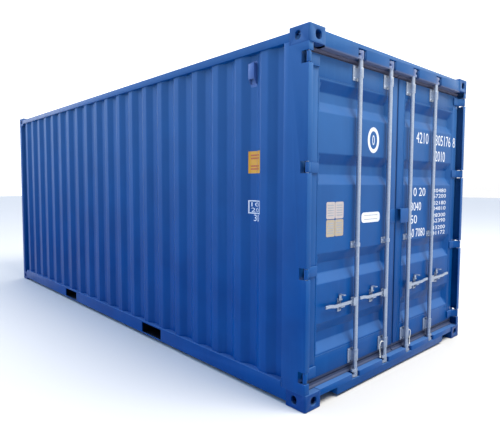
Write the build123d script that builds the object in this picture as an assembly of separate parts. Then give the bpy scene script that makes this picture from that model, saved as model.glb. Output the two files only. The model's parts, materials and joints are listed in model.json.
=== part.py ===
from build123d import *
import math
import os

# Twenty foot dry freight container, in millimetres.
# X runs along its length with the doors at +X, Y across it, Z up from the ground.
# Left and right are seen from behind, looking at the doors: left is -Y.

# Overall size
LENGTH = 6058.0
WIDTH = 2438.0
HEIGHT = 2591.0

# Corner castings
CASTING_LENGTH = 178.0
CASTING_WIDTH = 162.0
CASTING_HEIGHT = 118.0
CASTING_PLATE = 28.0
CASTING_OUTER_WALL = 16.0
CASTING_INNER_WALL = 12.0
CASTING_ROUND = 14.0
CASTING_RIM = 4.5
APERTURE_LENGTH = 124.0
APERTURE_WIDTH = 63.5
APERTURE_FROM_END = 102.5
APERTURE_FROM_SIDE = 89.5
SIDE_HOLE_WIDTH = 51.0
END_HOLE_WIDTH = 63.5
SIDE_HOLE_ROUND = 24.5
END_HOLE_ROUND = 25.5
LASHING_HOLE_HEIGHT = 63.0
LASHING_HOLE_RISE = 61.5

# Rails along the sides
TOP_RAIL_SIZE = 60.0
TOP_RAIL_WALL = 3.0
TOP_RAIL_DROP = 30.0
BOTTOM_RAIL_LOW = 30.0
BOTTOM_RAIL_TOP = 155.0
BOTTOM_RAIL_LEDGE = 55.0
BOTTOM_RAIL_LIP = 32.0
BOTTOM_RAIL_WALL = 4.5

# Corrugated walls
WALL_SETBACK = 15.0
SIDE_SHEET = 2.0
SIDE_PITCH = 281.0
SIDE_OUTER_FLAT = 72.0
SIDE_SLOPE = 68.0
SIDE_DEPTH = 36.0
SIDE_FRONT_MARGIN = 8.0
FRONT_SHEET = 2.0
FRONT_PITCH = 250.0
FRONT_OUTER_FLAT = 110.0
FRONT_SLOPE = 18.0
FRONT_DEPTH = 45.6
FRONT_SETBACK = 9.0
FRONT_MARGIN = 109.0

# Corner posts
POST_SIDE_WIDTH = 223.0
FRONT_POST_WIDTH = 85.0
POST_SHEET = 6.0
POST_SETBACK = 6.0
POST_FLANGE = 46.0
STOP_CHANNEL_WIDTH = 113.0
STOP_CHANNEL_WALL = 12.0
POST_DOORWAY_DEPTH = 49.0

# Front rails
FRONT_RAIL_DEPTH = 60.0
FRONT_RAIL_WALL = 4.0

# Roof
ROOF_SHEET = 2.0
ROOF_MARGIN = 14.0
ROOF_TROUGH_DEPTH = 20.0
ROOF_TROUGH_PITCH = 209.0
ROOF_TROUGH_FLAT = 91.0
ROOF_TROUGH_SLOPE = 13.5
ROOF_TROUGH_END_SLOPE = 30.0
ROOF_TROUGH_MARGIN = 90.0
ROOF_END_MARGIN = 90.0
CORNER_PLATE_LENGTH = 300.0
CORNER_PLATE_WIDTH = 260.0
CORNER_PLATE_THICKNESS = 4.0

# Door header and sill
HEADER_DROP = 23.0
HEADER_HEIGHT = 108.0
HEADER_SETBACK = 4.0
HEADER_INNER_DEPTH = 177.0
HEADER_WALL = 4.0
UPPER_STOP_HEIGHT = 24.0
SILL_TOP = 121.0
SILL_LOW = 20.0
SILL_WALL = 4.5
STOP_DEPTH = 34.0
SILL_CUTOUT_WIDTH = 205.0
SILL_CUTOUT_HEIGHT = 55.0
POCKET_DEPTH = 60.0
POCKET_SHORT_SIDE = 38.0
POCKET_LONG_SIDE = 64.0
SILL_POCKET_FLOOR = 58.0
HEADER_POCKET_ROOF = 30.0
POCKET_END_GAP = 6.0

# Base and floor
CROSS_LOW = 22.0
CROSS_HEIGHT = 122.0
CROSS_TOP_FLANGE = 45.0
CROSS_LOW_FLANGE = 40.0
CROSS_WALL = 4.0
CROSS_SPACING = 290.0
FORK_SPACING = 2050.0
FORK_WIDTH = 360.0
FORK_LOW = 40.0
FORK_TOP_PLATE = 3.0
FORK_END_PLATE = 6.0
FORK_END_PLATE_DEPTH = 200.0
FLOOR_THICKNESS = 28.0
FLOOR_SIDE_GAP = 6.0

# Vents
VENT_WIDTH = 62.0
VENT_HEIGHT = 150.0
VENT_DEPTH = 34.0
VENT_WALL = 3.0
VENT_MOUTH_HEIGHT = 42.0
VENT_MOUTH_DEPTH = 12.0
VENT_TOP_DROP = 62.0

# Door leaves
LEAF_SETBACK = 60.0
LEAF_DEPTH = 50.0
LEAF_LOW = 185.0
LEAF_TOP_GAP = 42.0
LEAF_SIDE_GAP = 69.0
LEAF_SEAM_EDGE = 12.0
STILE_WIDTH = 100.0
STILE_WALL = 4.0
DOOR_RAIL_HEIGHT = 150.0
DOOR_RAIL_WALL = 3.2
PANEL_SHEET = 2.0
RECESS_HEIGHT = 218.0
RECESS_FLAT = 70.0
RECESS_DEPTH = 36.0
RECESS_END_MARGIN = 10.0
RECESS_END_SLOPE = 44.0
RECESS_FROM_RAIL = 123.0
RECESS_SPACING = 499.0

# Gaskets
GASKET_GAP = 5.0
GASKET_SEAM_EDGE = 4.5
GASKET_SIDE_LIP = 15.0
GASKET_FRONT_SETBACK = 71.0
GASKET_LIP_DEPTH = 12.0

# Hinges
HINGE_INSET_X = 21.0
HINGE_INSET_Y = 19.0
HINGE_FROM_LEAF_END = 52.0
HINGE_HEIGHT = 70.0
HINGE_GAP = 5.0
KNUCKLE_RADIUS = 15.0
PIN_RADIUS = 8.0
PIN_CLEARANCE = 0.1
LUG_THICKNESS = 14.0
LUG_MARGIN = 4.0
BLADE_THICKNESS = 12.0
BLADE_LENGTH = 100.0
KNUCKLE_TANGENT = (0.8 * KNUCKLE_RADIUS, 0.6 * KNUCKLE_RADIUS)
NOTCH_DEPTH = 48.0

# Lock bars
BAR_RADIUS = 17.0
BAR_BORE = 14.0
BAR_SETBACK = 27.0
BAR_INNER = 179.0
BAR_OUTER = 603.0
BAR_END_GAP = 8.0
CAM_HEIGHT = 60.0
CAM_CLAW = 20.0
CAM_REACH = 46.0
CAM_WIDTH = 32.0
CAM_COLLAR_RADIUS = 21.0
COLLAR_RADIUS = 23.0
COLLAR_HEIGHT = 12.0
KEEPER_BACK = 5.0
KEEPER_EAR = 8.0
KEEPER_SETBACK = 9.0
KEEPER_HEIGHT = 54.0

# Bar brackets
BRACKET_HEIGHT = 110.0
BRACKET_WIDTH = 114.0
BRACKET_PLATE = 8.0
BRACKET_INSET = 5.0
HOUSING_RADIUS = 22.0
HOUSING_HEIGHT = 74.0
BAR_CLEARANCE = 0.5
GUIDE_Z = 1101.0
GUIDE_HEIGHT = 50.0
GUIDE_WIDTH = 90.0
GUIDE_HOUSING_HEIGHT = 30.0

# Handles, their hubs, retainers and catches
HANDLE_Z = 671.0
HANDLE_TIP_GAP = 49.0
HANDLE_THICKNESS = 12.0
HANDLE_HEIGHT = 24.0
HANDLE_PIVOT = 36.0
HANDLE_EYE_RADIUS = 13.0
HANDLE_PIN_RADIUS = 7.0
HANDLE_GRIP_LENGTH = 110.0
HANDLE_GRIP_RISE = 10.0
HANDLE_TIP_ROUND = 9.5
HUB_LENGTH = 52.0
HUB_HEIGHT = 60.0
HUB_WIDTH = 30.0
HUB_SIDE_GAP = 0.6
HUB_END_GAP = 2.0
RETAINER_DISTANCE = 175.0
RETAINER_WIDTH = 44.0
RETAINER_PLATE = 6.0
RETAINER_LOW = 616.0
RETAINER_HIGH = 714.0
SHELF_THICKNESS = 6.0
SHELF_GAP = 1.0
SHELF_OVERHANG = 2.0
CATCH_WIDTH = 28.0
CATCH_THICKNESS = 5.0
CATCH_LEG = 40.0
CATCH_TONGUE = 42.0
CATCH_RISE = 32.0
CATCH_STANDOFF = 7.0
CATCH_BARREL_RADIUS = 6.0
CATCH_PIN_RADIUS = 3.0
CATCH_SIDE_GAP = 1.0
EAR_THICKNESS = 5.0

# Lock box over the right leaf's seam stile
LOCK_BOX_LOW = 1231.0
LOCK_BOX_HEIGHT = 120.0
LOCK_BOX_DEPTH = 42.0
LOCK_BOX_NEAR = 16.0
LOCK_BOX_FAR = 152.0
LOCK_BOX_WALL = 5.0
LOCK_PLATE_WIDTH = 90.0
LOCK_PLATE_THICKNESS = 6.0

# Tie ropes on the inner lock bars' bottom brackets
ROPE_RADIUS = 4.0
ROPE_KNOT_RADIUS = 8.0
ROPE_GAP = 2.0
ROPE_BEND_SHARE = 0.45

# Places worked out from the sizes above
REAR = LENGTH / 2
SIDE = WIDTH / 2
POST_X = REAR - POST_SIDE_WIDTH
FRONT_POST_X = REAR - FRONT_POST_WIDTH
POST_FACE = REAR - POST_SETBACK
RIB_PLANE = SIDE - WALL_SETBACK
RECESS_PLANE = RIB_PLANE - SIDE_DEPTH
TOP_RAIL_HIGH = HEIGHT - TOP_RAIL_DROP
TOP_RAIL_LOW = TOP_RAIL_HIGH - TOP_RAIL_SIZE
CASTING_X = REAR - CASTING_LENGTH
CASTING_Y = SIDE - CASTING_WIDTH
TOP_CASTING_LOW = HEIGHT - CASTING_HEIGHT
HEADER_TOP = HEIGHT - HEADER_DROP
HEADER_LOW = HEADER_TOP - HEADER_HEIGHT
DOORWAY_TOP = HEADER_LOW - UPPER_STOP_HEIGHT
DOORWAY_EDGE = SIDE - POST_DOORWAY_DEPTH
HEADER_X = REAR - HEADER_SETBACK
HEADER_INNER_X = HEADER_X - HEADER_INNER_DEPTH
CROSS_TOP = CROSS_LOW + CROSS_HEIGHT
FLOOR_TOP = CROSS_TOP + FLOOR_THICKNESS
FORK_TOP = CROSS_TOP - FORK_TOP_PLATE
LEAF_FACE = REAR - LEAF_SETBACK
LEAF_BACK = LEAF_FACE - LEAF_DEPTH
LEAF_HIGH = TOP_CASTING_LOW - LEAF_TOP_GAP
LEAF_MIDDLE = (LEAF_LOW + LEAF_HIGH) / 2
LEAF_OUTER_EDGE = SIDE - LEAF_SIDE_GAP
GASKET_SIDE_EDGE = LEAF_OUTER_EDGE + GASKET_SIDE_LIP
RECESS_FAR = (LEAF_HIGH - LEAF_LOW) / 2 - DOOR_RAIL_HEIGHT - RECESS_FROM_RAIL
RECESS_RISES = [-RECESS_FAR, RECESS_SPACING - RECESS_FAR, RECESS_FAR - RECESS_SPACING, RECESS_FAR]
STOP_FACE = LEAF_BACK - GASKET_GAP
STOP_BACK = STOP_FACE - STOP_DEPTH
STOP_CHANNEL_X = STOP_FACE - STOP_CHANNEL_WIDTH
HINGE_X = REAR - HINGE_INSET_X
HINGE_Y = SIDE - HINGE_INSET_Y
HINGE_FAR = (LEAF_HIGH - LEAF_LOW) / 2 - HINGE_FROM_LEAF_END
HINGE_HEIGHTS = [LEAF_MIDDLE + share * HINGE_FAR for share in (-1, -1 / 3, 1 / 3, 1)]
BAR_X = REAR - BAR_SETBACK
POCKET_X = REAR - POCKET_DEPTH
POCKET_LOW = SILL_LOW + SILL_POCKET_FLOOR
POCKET_HIGH = HEADER_TOP - HEADER_POCKET_ROOF
BAR_LOW = POCKET_LOW + POCKET_END_GAP
BAR_HIGH = POCKET_HIGH - BAR_END_GAP
CATCH_X = LEAF_FACE + RETAINER_PLATE + CATCH_STANDOFF
CATCH_Z = HANDLE_Z + CATCH_RISE
HANDLE_LENGTH = BAR_OUTER - BAR_INNER - HANDLE_TIP_GAP

# Route of the right rope, outwards from its bar's bottom bracket, over and down beside it
ROPE_ROUTE = [
    (1.0, HOUSING_RADIUS + ROPE_GAP, 258.0),
    (1.0, 34.7, 265.0),
    (1.5, 47.8, 266.9),
    (2.0, 60.4, 262.8),
    (2.0, 70.5, 253.0),
    (1.5, 75.6, 239.0),
    (0.0, 73.8, 222.0),
    (-1.5, 68.6, 202.0),
    (-2.0, 64.6, 180.0),
    (-1.0, 62.6, 158.0),
    (0.5, 63.4, 138.0),
]

# Each lock bar: its place across the doors, and the side its handle and claws point to
LOCK_BARS = [(-BAR_OUTER, -1), (-BAR_INNER, -1), (BAR_INNER, 1), (BAR_OUTER, 1)]


def block(x_range, y_range, z_range):
    """A box between two limits along each axis."""
    ranges = [sorted(limits) for limits in (x_range, y_range, z_range)]
    sizes = [high - low for low, high in ranges]
    middle = [(low + high) / 2 for low, high in ranges]
    return Pos(*middle) * Box(*sizes)


def outline_face(points):
    """The flat face inside a closed outline of straight sides."""
    return make_face(Polyline(*points, close=True))


def upright(points, low, high):
    """A bar of one XY outline between two heights."""
    return extrude(Plane.XY.offset(low) * outline_face(points), high - low)


def along_x(points, start, end):
    """A bar of one YZ outline between two places along X."""
    return extrude(Plane.YZ.offset(start) * outline_face(points), end - start)


def along_y(points, start, end):
    """A bar of one XZ outline between two places along Y."""
    return extrude(Plane.XZ.offset(-end) * outline_face(points), end - start)


def sheet_outline(line, thickness):
    """Outline of a folded sheet: the line is one side, the metal lies to its left."""
    runs = []
    for start, end in zip(line, line[1:]):
        length = math.dist(start, end)
        runs.append(((end[0] - start[0]) / length, (end[1] - start[1]) / length))
    other_side = []
    for index, (x, y) in enumerate(line):
        before = runs[max(index - 1, 0)]
        after = runs[min(index, len(runs) - 1)]
        reach = thickness / (1 + before[0] * after[0] + before[1] * after[1])
        other_side.append((x - (before[1] + after[1]) * reach, y + (before[0] + after[0]) * reach))
    return line + other_side[::-1]


def mirrored(shape):
    """The same piece on the other side of the container."""
    return mirror(shape, about=Plane.XZ)


def cylinder_up(x, y, low, high, radius):
    """An upright round bar between two heights."""
    return Pos(x, y, (low + high) / 2) * Cylinder(radius, high - low)


def corner_casting():
    """A casting whose outer corner is at the origin, with its aperture face down."""
    body = block((0, CASTING_LENGTH), (0, CASTING_WIDTH), (0, CASTING_HEIGHT))
    body = fillet(body.edges().filter_by(Axis.Z).sort_by_distance((0, 0, 0))[0], CASTING_ROUND)
    outer_rims = body.faces().sort_by(Axis.Z)[0].edges().filter_by_position(Axis.X, -1, CASTING_LENGTH - 1)
    body = chamfer(outer_rims.filter_by_position(Axis.Y, -1, CASTING_WIDTH - 1), CASTING_RIM)
    body -= block(
        (CASTING_OUTER_WALL, CASTING_LENGTH - CASTING_INNER_WALL),
        (CASTING_OUTER_WALL, CASTING_WIDTH - CASTING_INNER_WALL),
        (CASTING_PLATE, CASTING_HEIGHT - CASTING_INNER_WALL),
    )
    slot = extrude(SlotOverall(APERTURE_LENGTH, APERTURE_WIDTH), CASTING_PLATE + 2)
    body -= Pos(APERTURE_FROM_END, APERTURE_FROM_SIDE, -1) * slot
    side_hole = Plane.XZ * RectangleRounded(SIDE_HOLE_WIDTH, LASHING_HOLE_HEIGHT, SIDE_HOLE_ROUND)
    body -= Pos(APERTURE_FROM_END, 0, LASHING_HOLE_RISE) * extrude(side_hole, CASTING_OUTER_WALL + 1, both=True)
    end_hole = Plane.YZ * RectangleRounded(END_HOLE_WIDTH, LASHING_HOLE_HEIGHT, END_HOLE_ROUND)
    body -= Pos(0, APERTURE_FROM_SIDE, LASHING_HOLE_RISE) * extrude(end_hole, CASTING_OUTER_WALL + 1, both=True)
    return body


def placed_castings(casting):
    """The four castings of one level, turned to the container's corners."""
    placed = []
    for end in (-1, 1):
        for side in (-1, 1):
            turned = casting if end < 0 else mirror(casting, about=Plane.YZ)
            turned = turned if side < 0 else mirror(turned, about=Plane.XZ)
            placed.append(Pos(end * REAR, side * SIDE, 0) * turned)
    return placed


def rib_places(start, end, margin, pitch, rib_width):
    """The middles of the ribs that fit between a wall's ends, from the margin at its start."""
    count = int((end - start - margin - rib_width) // pitch) + 1
    first = start + margin + rib_width / 2
    return [first + index * pitch for index in range(count)]


def side_ribs():
    """The middles of the side walls' ribs, from the front castings to the rear posts."""
    return rib_places(-CASTING_X, POST_X, SIDE_FRONT_MARGIN, SIDE_PITCH, SIDE_OUTER_FLAT + 2 * SIDE_SLOPE)


def corrugated_line(start, end, ribs, outer_flat, slope, depth):
    """Outer line of a corrugated sheet: ribs stand out, and both ends lie on the inner plane."""
    points = [(start, depth)]
    half = outer_flat / 2
    for middle in ribs:
        points.append((middle - half - slope, depth))
        points.append((middle - half, 0.0))
        points.append((middle + half, 0.0))
        points.append((middle + half + slope, depth))
    points.append((end, depth))
    return points


def left_side_wall():
    """The corrugated wall at -Y, standing on the bottom rail."""
    line = corrugated_line(-CASTING_X, POST_X, side_ribs(), SIDE_OUTER_FLAT, SIDE_SLOPE, SIDE_DEPTH)
    outer = [(x, y - RIB_PLANE) for x, y in line]
    return upright(sheet_outline(outer, SIDE_SHEET), BOTTOM_RAIL_TOP, TOP_RAIL_LOW)


def front_wall():
    """The corrugated end wall between the front posts."""
    rib_width = FRONT_OUTER_FLAT + 2 * FRONT_SLOPE
    ribs = rib_places(-CASTING_Y, CASTING_Y, FRONT_MARGIN, FRONT_PITCH, rib_width)
    line = corrugated_line(-CASTING_Y, CASTING_Y, ribs, FRONT_OUTER_FLAT, FRONT_SLOPE, FRONT_DEPTH)
    outer = [(depth - REAR + FRONT_SETBACK, -along) for along, depth in line]
    return upright(sheet_outline(outer, FRONT_SHEET), BOTTOM_RAIL_TOP, TOP_RAIL_LOW)


def hinge_notch(middle):
    """The room for a hinge blade at the post's corner."""
    half = HINGE_HEIGHT / 2 + HINGE_GAP
    return block(
        (HINGE_X - NOTCH_DEPTH, REAR),
        (-SIDE, -SIDE + POST_FLANGE),
        (middle - half, middle + half),
    )


def notch_plate(middle):
    """The plate that closes the post behind a hinge's notch."""
    half = HINGE_HEIGHT / 2 + HINGE_GAP
    edge = HINGE_X - NOTCH_DEPTH
    return block(
        (edge - POST_SHEET, edge),
        (-SIDE + POST_SHEET / 2, -SIDE + POST_FLANGE),
        (middle - half - POST_SHEET, middle + half + POST_SHEET),
    )


def left_rear_post():
    """Folded outer post, door stop channel behind it and a pair of lugs at each hinge."""
    outer = [
        (POST_X, -RECESS_PLANE),
        (POST_X, -SIDE),
        (POST_FACE, -SIDE),
        (POST_FACE, -SIDE + POST_FLANGE),
    ]
    inside = -SIDE + POST_SHEET
    channel = [
        (STOP_FACE, inside),
        (STOP_FACE, -DOORWAY_EDGE),
        (STOP_CHANNEL_X, -DOORWAY_EDGE),
        (STOP_CHANNEL_X, inside),
    ]
    post = upright(sheet_outline(outer, POST_SHEET), CASTING_HEIGHT, TOP_RAIL_LOW)
    post += upright(sheet_outline(channel, STOP_CHANNEL_WALL), CASTING_HEIGHT, TOP_RAIL_LOW)
    post -= block((CASTING_X, REAR), (-SIDE, -CASTING_Y), (TOP_CASTING_LOW, TOP_RAIL_LOW + 1))
    for middle in HINGE_HEIGHTS:
        post -= hinge_notch(middle)
        post += notch_plate(middle)
    for middle in HINGE_HEIGHTS:
        for side in (-1, 1):
            near = middle + side * (HINGE_HEIGHT / 2 + HINGE_GAP)
            lug = block(
                (HINGE_X - KNUCKLE_RADIUS - LUG_MARGIN, POST_FACE - POST_SHEET),
                (inside, -HINGE_Y + KNUCKLE_RADIUS + LUG_MARGIN),
                (near, near + side * LUG_THICKNESS),
            )
            post += lug
    return post - cylinder_up(HINGE_X, -HINGE_Y, CASTING_HEIGHT, TOP_RAIL_LOW, PIN_RADIUS + PIN_CLEARANCE)


def left_hinge_pins():
    """Four pins, each through the two lugs of its hinge."""
    reach = HINGE_HEIGHT / 2 + HINGE_GAP + LUG_THICKNESS
    return [
        cylinder_up(HINGE_X, -HINGE_Y, middle - reach, middle + reach, PIN_RADIUS)
        for middle in HINGE_HEIGHTS
    ]


def left_front_post():
    """Folded post between the front wall and the left side wall, with a flange for the side wall."""
    line = [
        (-REAR + FRONT_SETBACK + FRONT_DEPTH + FRONT_SHEET, -CASTING_Y),
        (-POST_FACE, -CASTING_Y),
        (-POST_FACE, -SIDE),
        (-FRONT_POST_X, -SIDE),
        (-FRONT_POST_X, -RECESS_PLANE),
        (-CASTING_X, -RECESS_PLANE),
    ]
    post = upright(sheet_outline(line, POST_SHEET), CASTING_HEIGHT, TOP_RAIL_LOW)
    post -= block((-REAR, -CASTING_X), (-SIDE, -CASTING_Y), (TOP_CASTING_LOW, TOP_RAIL_LOW + 1))
    return post


def left_top_rail():
    """Square tube along the top of the left side, between the castings."""
    middle = (-SIDE + TOP_RAIL_SIZE / 2, TOP_RAIL_HIGH - TOP_RAIL_SIZE / 2)
    inner = TOP_RAIL_SIZE - 2 * TOP_RAIL_WALL
    section = Rectangle(TOP_RAIL_SIZE, TOP_RAIL_SIZE) - Rectangle(inner, inner)
    return extrude(Plane.YZ.offset(-CASTING_X) * Pos(*middle) * section, 2 * CASTING_X)


def fork_range(side):
    """The stretch along X that one fork pocket takes."""
    middle = side * FORK_SPACING / 2
    return (middle - FORK_WIDTH / 2, middle + FORK_WIDTH / 2)


def left_bottom_rail():
    """Folded rail along the bottom of the left side, cut open at the fork pockets."""
    line = [
        (-SIDE + BOTTOM_RAIL_LEDGE, BOTTOM_RAIL_TOP),
        (-SIDE, BOTTOM_RAIL_TOP),
        (-SIDE, BOTTOM_RAIL_LOW),
        (-SIDE + BOTTOM_RAIL_LIP, BOTTOM_RAIL_LOW),
    ]
    rail = along_x(sheet_outline(line, BOTTOM_RAIL_WALL), -CASTING_X, CASTING_X)
    rail -= block((min(POST_X, STOP_CHANNEL_X), REAR), (-SIDE, -CASTING_Y), (CASTING_HEIGHT, BOTTOM_RAIL_TOP))
    for end in (-1, 1):
        rail -= block(fork_range(end), (-SIDE, -CASTING_Y), (FORK_LOW, FORK_TOP))
    return rail


def roof_panel():
    """Roof sheet with a row of pressed troughs across it."""
    edge = SIDE - ROOF_MARGIN
    low = TOP_RAIL_HIGH
    sheet = block((-CASTING_X, HEADER_INNER_X), (-edge, edge), (low, low + ROOF_SHEET))
    start = -CASTING_X + ROOF_END_MARGIN
    count = int((HEADER_INNER_X - ROOF_END_MARGIN - start) // ROOF_TROUGH_PITCH)
    first = (HEADER_INNER_X - CASTING_X) / 2 - (count - 1) / 2 * ROOF_TROUGH_PITCH
    long_side = 2 * (edge - ROOF_TROUGH_MARGIN)
    for index in range(count):
        trough = pressed_hollow(
            (ROOF_TROUGH_FLAT + 2 * ROOF_TROUGH_SLOPE, long_side),
            (ROOF_TROUGH_FLAT, long_side - 2 * ROOF_TROUGH_END_SLOPE),
            ROOF_TROUGH_DEPTH,
        )
        place = Pos(first + index * ROOF_TROUGH_PITCH, 0, low + ROOF_SHEET)
        sheet += place * Pos(0, 0, -ROOF_SHEET) * trough
        sheet -= place * trough
    return sheet


def front_roof_plate():
    """Flat plate over the front top rail, between the front castings."""
    front = -REAR + ROOF_MARGIN
    low = TOP_RAIL_HIGH
    return block((front, -CASTING_X), (-CASTING_Y, CASTING_Y), (low, low + CORNER_PLATE_THICKNESS))


def pressed_hollow(mouth, bottom, depth):
    """The tapered hollow of a pressing, from its mouth at z = 0 down to its bottom."""
    faces = [Rectangle(*mouth), Pos(0, 0, -depth) * Rectangle(*bottom)]
    return loft(faces, ruled=True)


def roof_corner_plates():
    """Plates on the roof beside the four top castings."""
    low = TOP_RAIL_HIGH + ROOF_SHEET
    plates = []
    for inner, outer in ((-CASTING_X, -CASTING_X + CORNER_PLATE_LENGTH),
                         (HEADER_INNER_X - CORNER_PLATE_LENGTH, HEADER_INNER_X)):
        for side in (-1, 1):
            edge = side * (SIDE - ROOF_MARGIN)
            plates.append(block(
                (inner, outer),
                (edge, edge - side * CORNER_PLATE_WIDTH),
                (low, low + CORNER_PLATE_THICKNESS),
            ))
    return plates


def pocket_range(place, hand):
    """The stretch across the doors that one lock bar's pocket takes."""
    return sorted((place - hand * POCKET_SHORT_SIDE, place + hand * POCKET_LONG_SIDE))


def with_pockets(beam, wall, liner_z, hollow_z):
    """The beam with a lined pocket round the end of each lock bar."""
    for place, hand in LOCK_BARS:
        near, far = pocket_range(place, hand)
        beam += block((POCKET_X - wall, HEADER_X), (near - wall, far + wall), liner_z)
        beam -= block((POCKET_X, REAR + 1), (near, far), hollow_z)
    return beam


def door_header():
    """Hollow beam over the doors, with the door stop hanging from its inner edge."""
    outline = [
        (HEADER_INNER_X, HEADER_LOW),
        (HEADER_X, HEADER_LOW),
        (HEADER_X, HEADER_TOP),
        (HEADER_INNER_X, HEADER_TOP),
    ]
    inside = [
        (HEADER_INNER_X + HEADER_WALL, HEADER_LOW + HEADER_WALL),
        (HEADER_X - HEADER_WALL, HEADER_LOW + HEADER_WALL),
        (HEADER_X - HEADER_WALL, HEADER_TOP - HEADER_WALL),
        (HEADER_INNER_X + HEADER_WALL, HEADER_TOP - HEADER_WALL),
    ]
    beam = along_y(outline, -CASTING_Y, CASTING_Y)
    beam -= along_y(inside, -CASTING_Y - 1, CASTING_Y + 1)
    liner_z = (HEADER_LOW, POCKET_HIGH + HEADER_WALL)
    beam = with_pockets(beam, HEADER_WALL, liner_z, (HEADER_LOW - 1, POCKET_HIGH))
    beam += block((STOP_BACK, STOP_FACE), (-DOORWAY_EDGE, DOORWAY_EDGE), (DOORWAY_TOP, TOP_CASTING_LOW))
    beam += block((STOP_BACK, STOP_FACE), (-CASTING_Y, CASTING_Y), (DOORWAY_TOP, HEADER_LOW))
    return beam


def door_sill():
    """Hollow beam under the doors, with the door stop standing on its inner edge."""
    inner_x = STOP_BACK
    outline = [
        (inner_x, SILL_LOW),
        (HEADER_X, SILL_LOW),
        (HEADER_X, SILL_TOP),
        (inner_x, SILL_TOP),
    ]
    inside = [
        (inner_x + SILL_WALL, SILL_LOW + SILL_WALL),
        (HEADER_X - SILL_WALL, SILL_LOW + SILL_WALL),
        (HEADER_X - SILL_WALL, SILL_TOP - SILL_WALL),
        (inner_x + SILL_WALL, SILL_TOP - SILL_WALL),
    ]
    beam = along_y(outline, -CASTING_Y, CASTING_Y)
    beam -= along_y(inside, -CASTING_Y - 1, CASTING_Y + 1)
    for side in (-1, 1):
        near = side * (CASTING_Y - SILL_CUTOUT_WIDTH)
        liner = block(
            (inner_x, HEADER_X),
            (near - side * SILL_WALL, side * CASTING_Y),
            (SILL_LOW, SILL_LOW + SILL_CUTOUT_HEIGHT + SILL_WALL),
        )
        beam += liner
        beam -= block(
            (inner_x - 1, REAR),
            (near, side * (CASTING_Y + 1)),
            (SILL_LOW - 1, SILL_LOW + SILL_CUTOUT_HEIGHT),
        )
    beam = with_pockets(beam, SILL_WALL, (POCKET_LOW - SILL_WALL, SILL_TOP), (POCKET_LOW, SILL_TOP + 1))
    beam += block((inner_x, STOP_FACE), (-CASTING_Y, CASTING_Y), (SILL_TOP, FLOOR_TOP))
    beam += block((inner_x, STOP_FACE), (-DOORWAY_EDGE, DOORWAY_EDGE), (CASTING_HEIGHT, FLOOR_TOP))
    return beam


def front_rail(low, high):
    """Hollow rail across the front end, between the castings."""
    back = -POST_FACE + FRONT_RAIL_DEPTH
    rail = block((-POST_FACE, back), (-CASTING_Y, CASTING_Y), (low, high))
    rail -= block(
        (-POST_FACE + FRONT_RAIL_WALL, back - FRONT_RAIL_WALL),
        (-CASTING_Y - 1, CASTING_Y + 1),
        (low + FRONT_RAIL_WALL, high - FRONT_RAIL_WALL),
    )
    return rail


def cross_member(place, facing):
    """A folded floor bearer whose flanges point to the facing side, notched over the rails' lips."""
    line = [
        (place + facing * CROSS_TOP_FLANGE, CROSS_TOP),
        (place, CROSS_TOP),
        (place, CROSS_LOW),
        (place + facing * CROSS_LOW_FLANGE, CROSS_LOW),
    ]
    if facing < 0:
        line = line[::-1]
    reach = SIDE - BOTTOM_RAIL_WALL
    bearer = along_y(sheet_outline(line, CROSS_WALL), -reach, reach)
    return notched_ends(bearer)


def notched_ends(piece):
    """The piece with its lower corners cut away over the bottom rails' lips."""
    lip_top = BOTTOM_RAIL_LOW + BOTTOM_RAIL_WALL
    for side in (-1, 1):
        piece -= block((-REAR, REAR), (side * (SIDE - BOTTOM_RAIL_LIP), side * SIDE), (0, lip_top))
    return piece


def cross_members():
    """The row of bearers between the sill and the front rail, leaving room for the fork pockets."""
    start = -POST_FACE + FRONT_RAIL_DEPTH + CROSS_SPACING
    end = STOP_BACK - CROSS_TOP_FLANGE
    room = FORK_WIDTH / 2 + 2 * CROSS_TOP_FLANGE
    bearers = []
    count = int((end - start) // CROSS_SPACING) + 1
    for index in range(count):
        place = start + index * CROSS_SPACING
        nearest_pocket = min(abs(place - side * FORK_SPACING / 2) for side in (-1, 1))
        if nearest_pocket > room:
            bearers.append(cross_member(place, 1))
    return bearers


def fork_pocket(side):
    """Two bearers back to back with a top plate between them and a plate under each mouth."""
    near, far = fork_range(side)
    pocket = cross_member(near, -1) + cross_member(far, 1)
    reach = SIDE - BOTTOM_RAIL_WALL
    pocket += block((near, far), (-reach, reach), (FORK_TOP, CROSS_TOP))
    for end in (-1, 1):
        mouth = end * (SIDE - BOTTOM_RAIL_LIP)
        inner = mouth - end * FORK_END_PLATE_DEPTH
        pocket += block((near, far), (mouth, inner), (FORK_LOW - FORK_END_PLATE, FORK_LOW))
    return pocket


def plywood_floor():
    """Floor boards as one slab on the bearers."""
    half = RECESS_PLANE - SIDE_SHEET - FLOOR_SIDE_GAP
    front = -POST_FACE + FRONT_RAIL_DEPTH
    return block((front, STOP_BACK), (-half, half), (CROSS_TOP, FLOOR_TOP))


def left_vent():
    """A hood over the left wall's vent, in the last whole recess before the rear post."""
    ribs = side_ribs()
    middle = (ribs[-2] + ribs[-1]) / 2
    half = VENT_WIDTH / 2
    back = -RECESS_PLANE
    top = TOP_RAIL_LOW - VENT_TOP_DROP
    low = top - VENT_HEIGHT
    outline = [
        (back, low),
        (back, top),
        (back - VENT_DEPTH, top),
        (back - VENT_DEPTH, low + VENT_MOUTH_HEIGHT),
        (back - VENT_MOUTH_DEPTH, low),
    ]
    hollow = [
        (back - VENT_WALL, low - 1),
        (back - VENT_WALL, top - VENT_WALL),
        (back - VENT_DEPTH + VENT_WALL, top - VENT_WALL),
        (back - VENT_DEPTH + VENT_WALL, low - 1),
    ]
    hood = along_x(outline, middle - half, middle + half)
    return hood - along_x(hollow, middle - half + VENT_WALL, middle + half - VENT_WALL)


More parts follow.
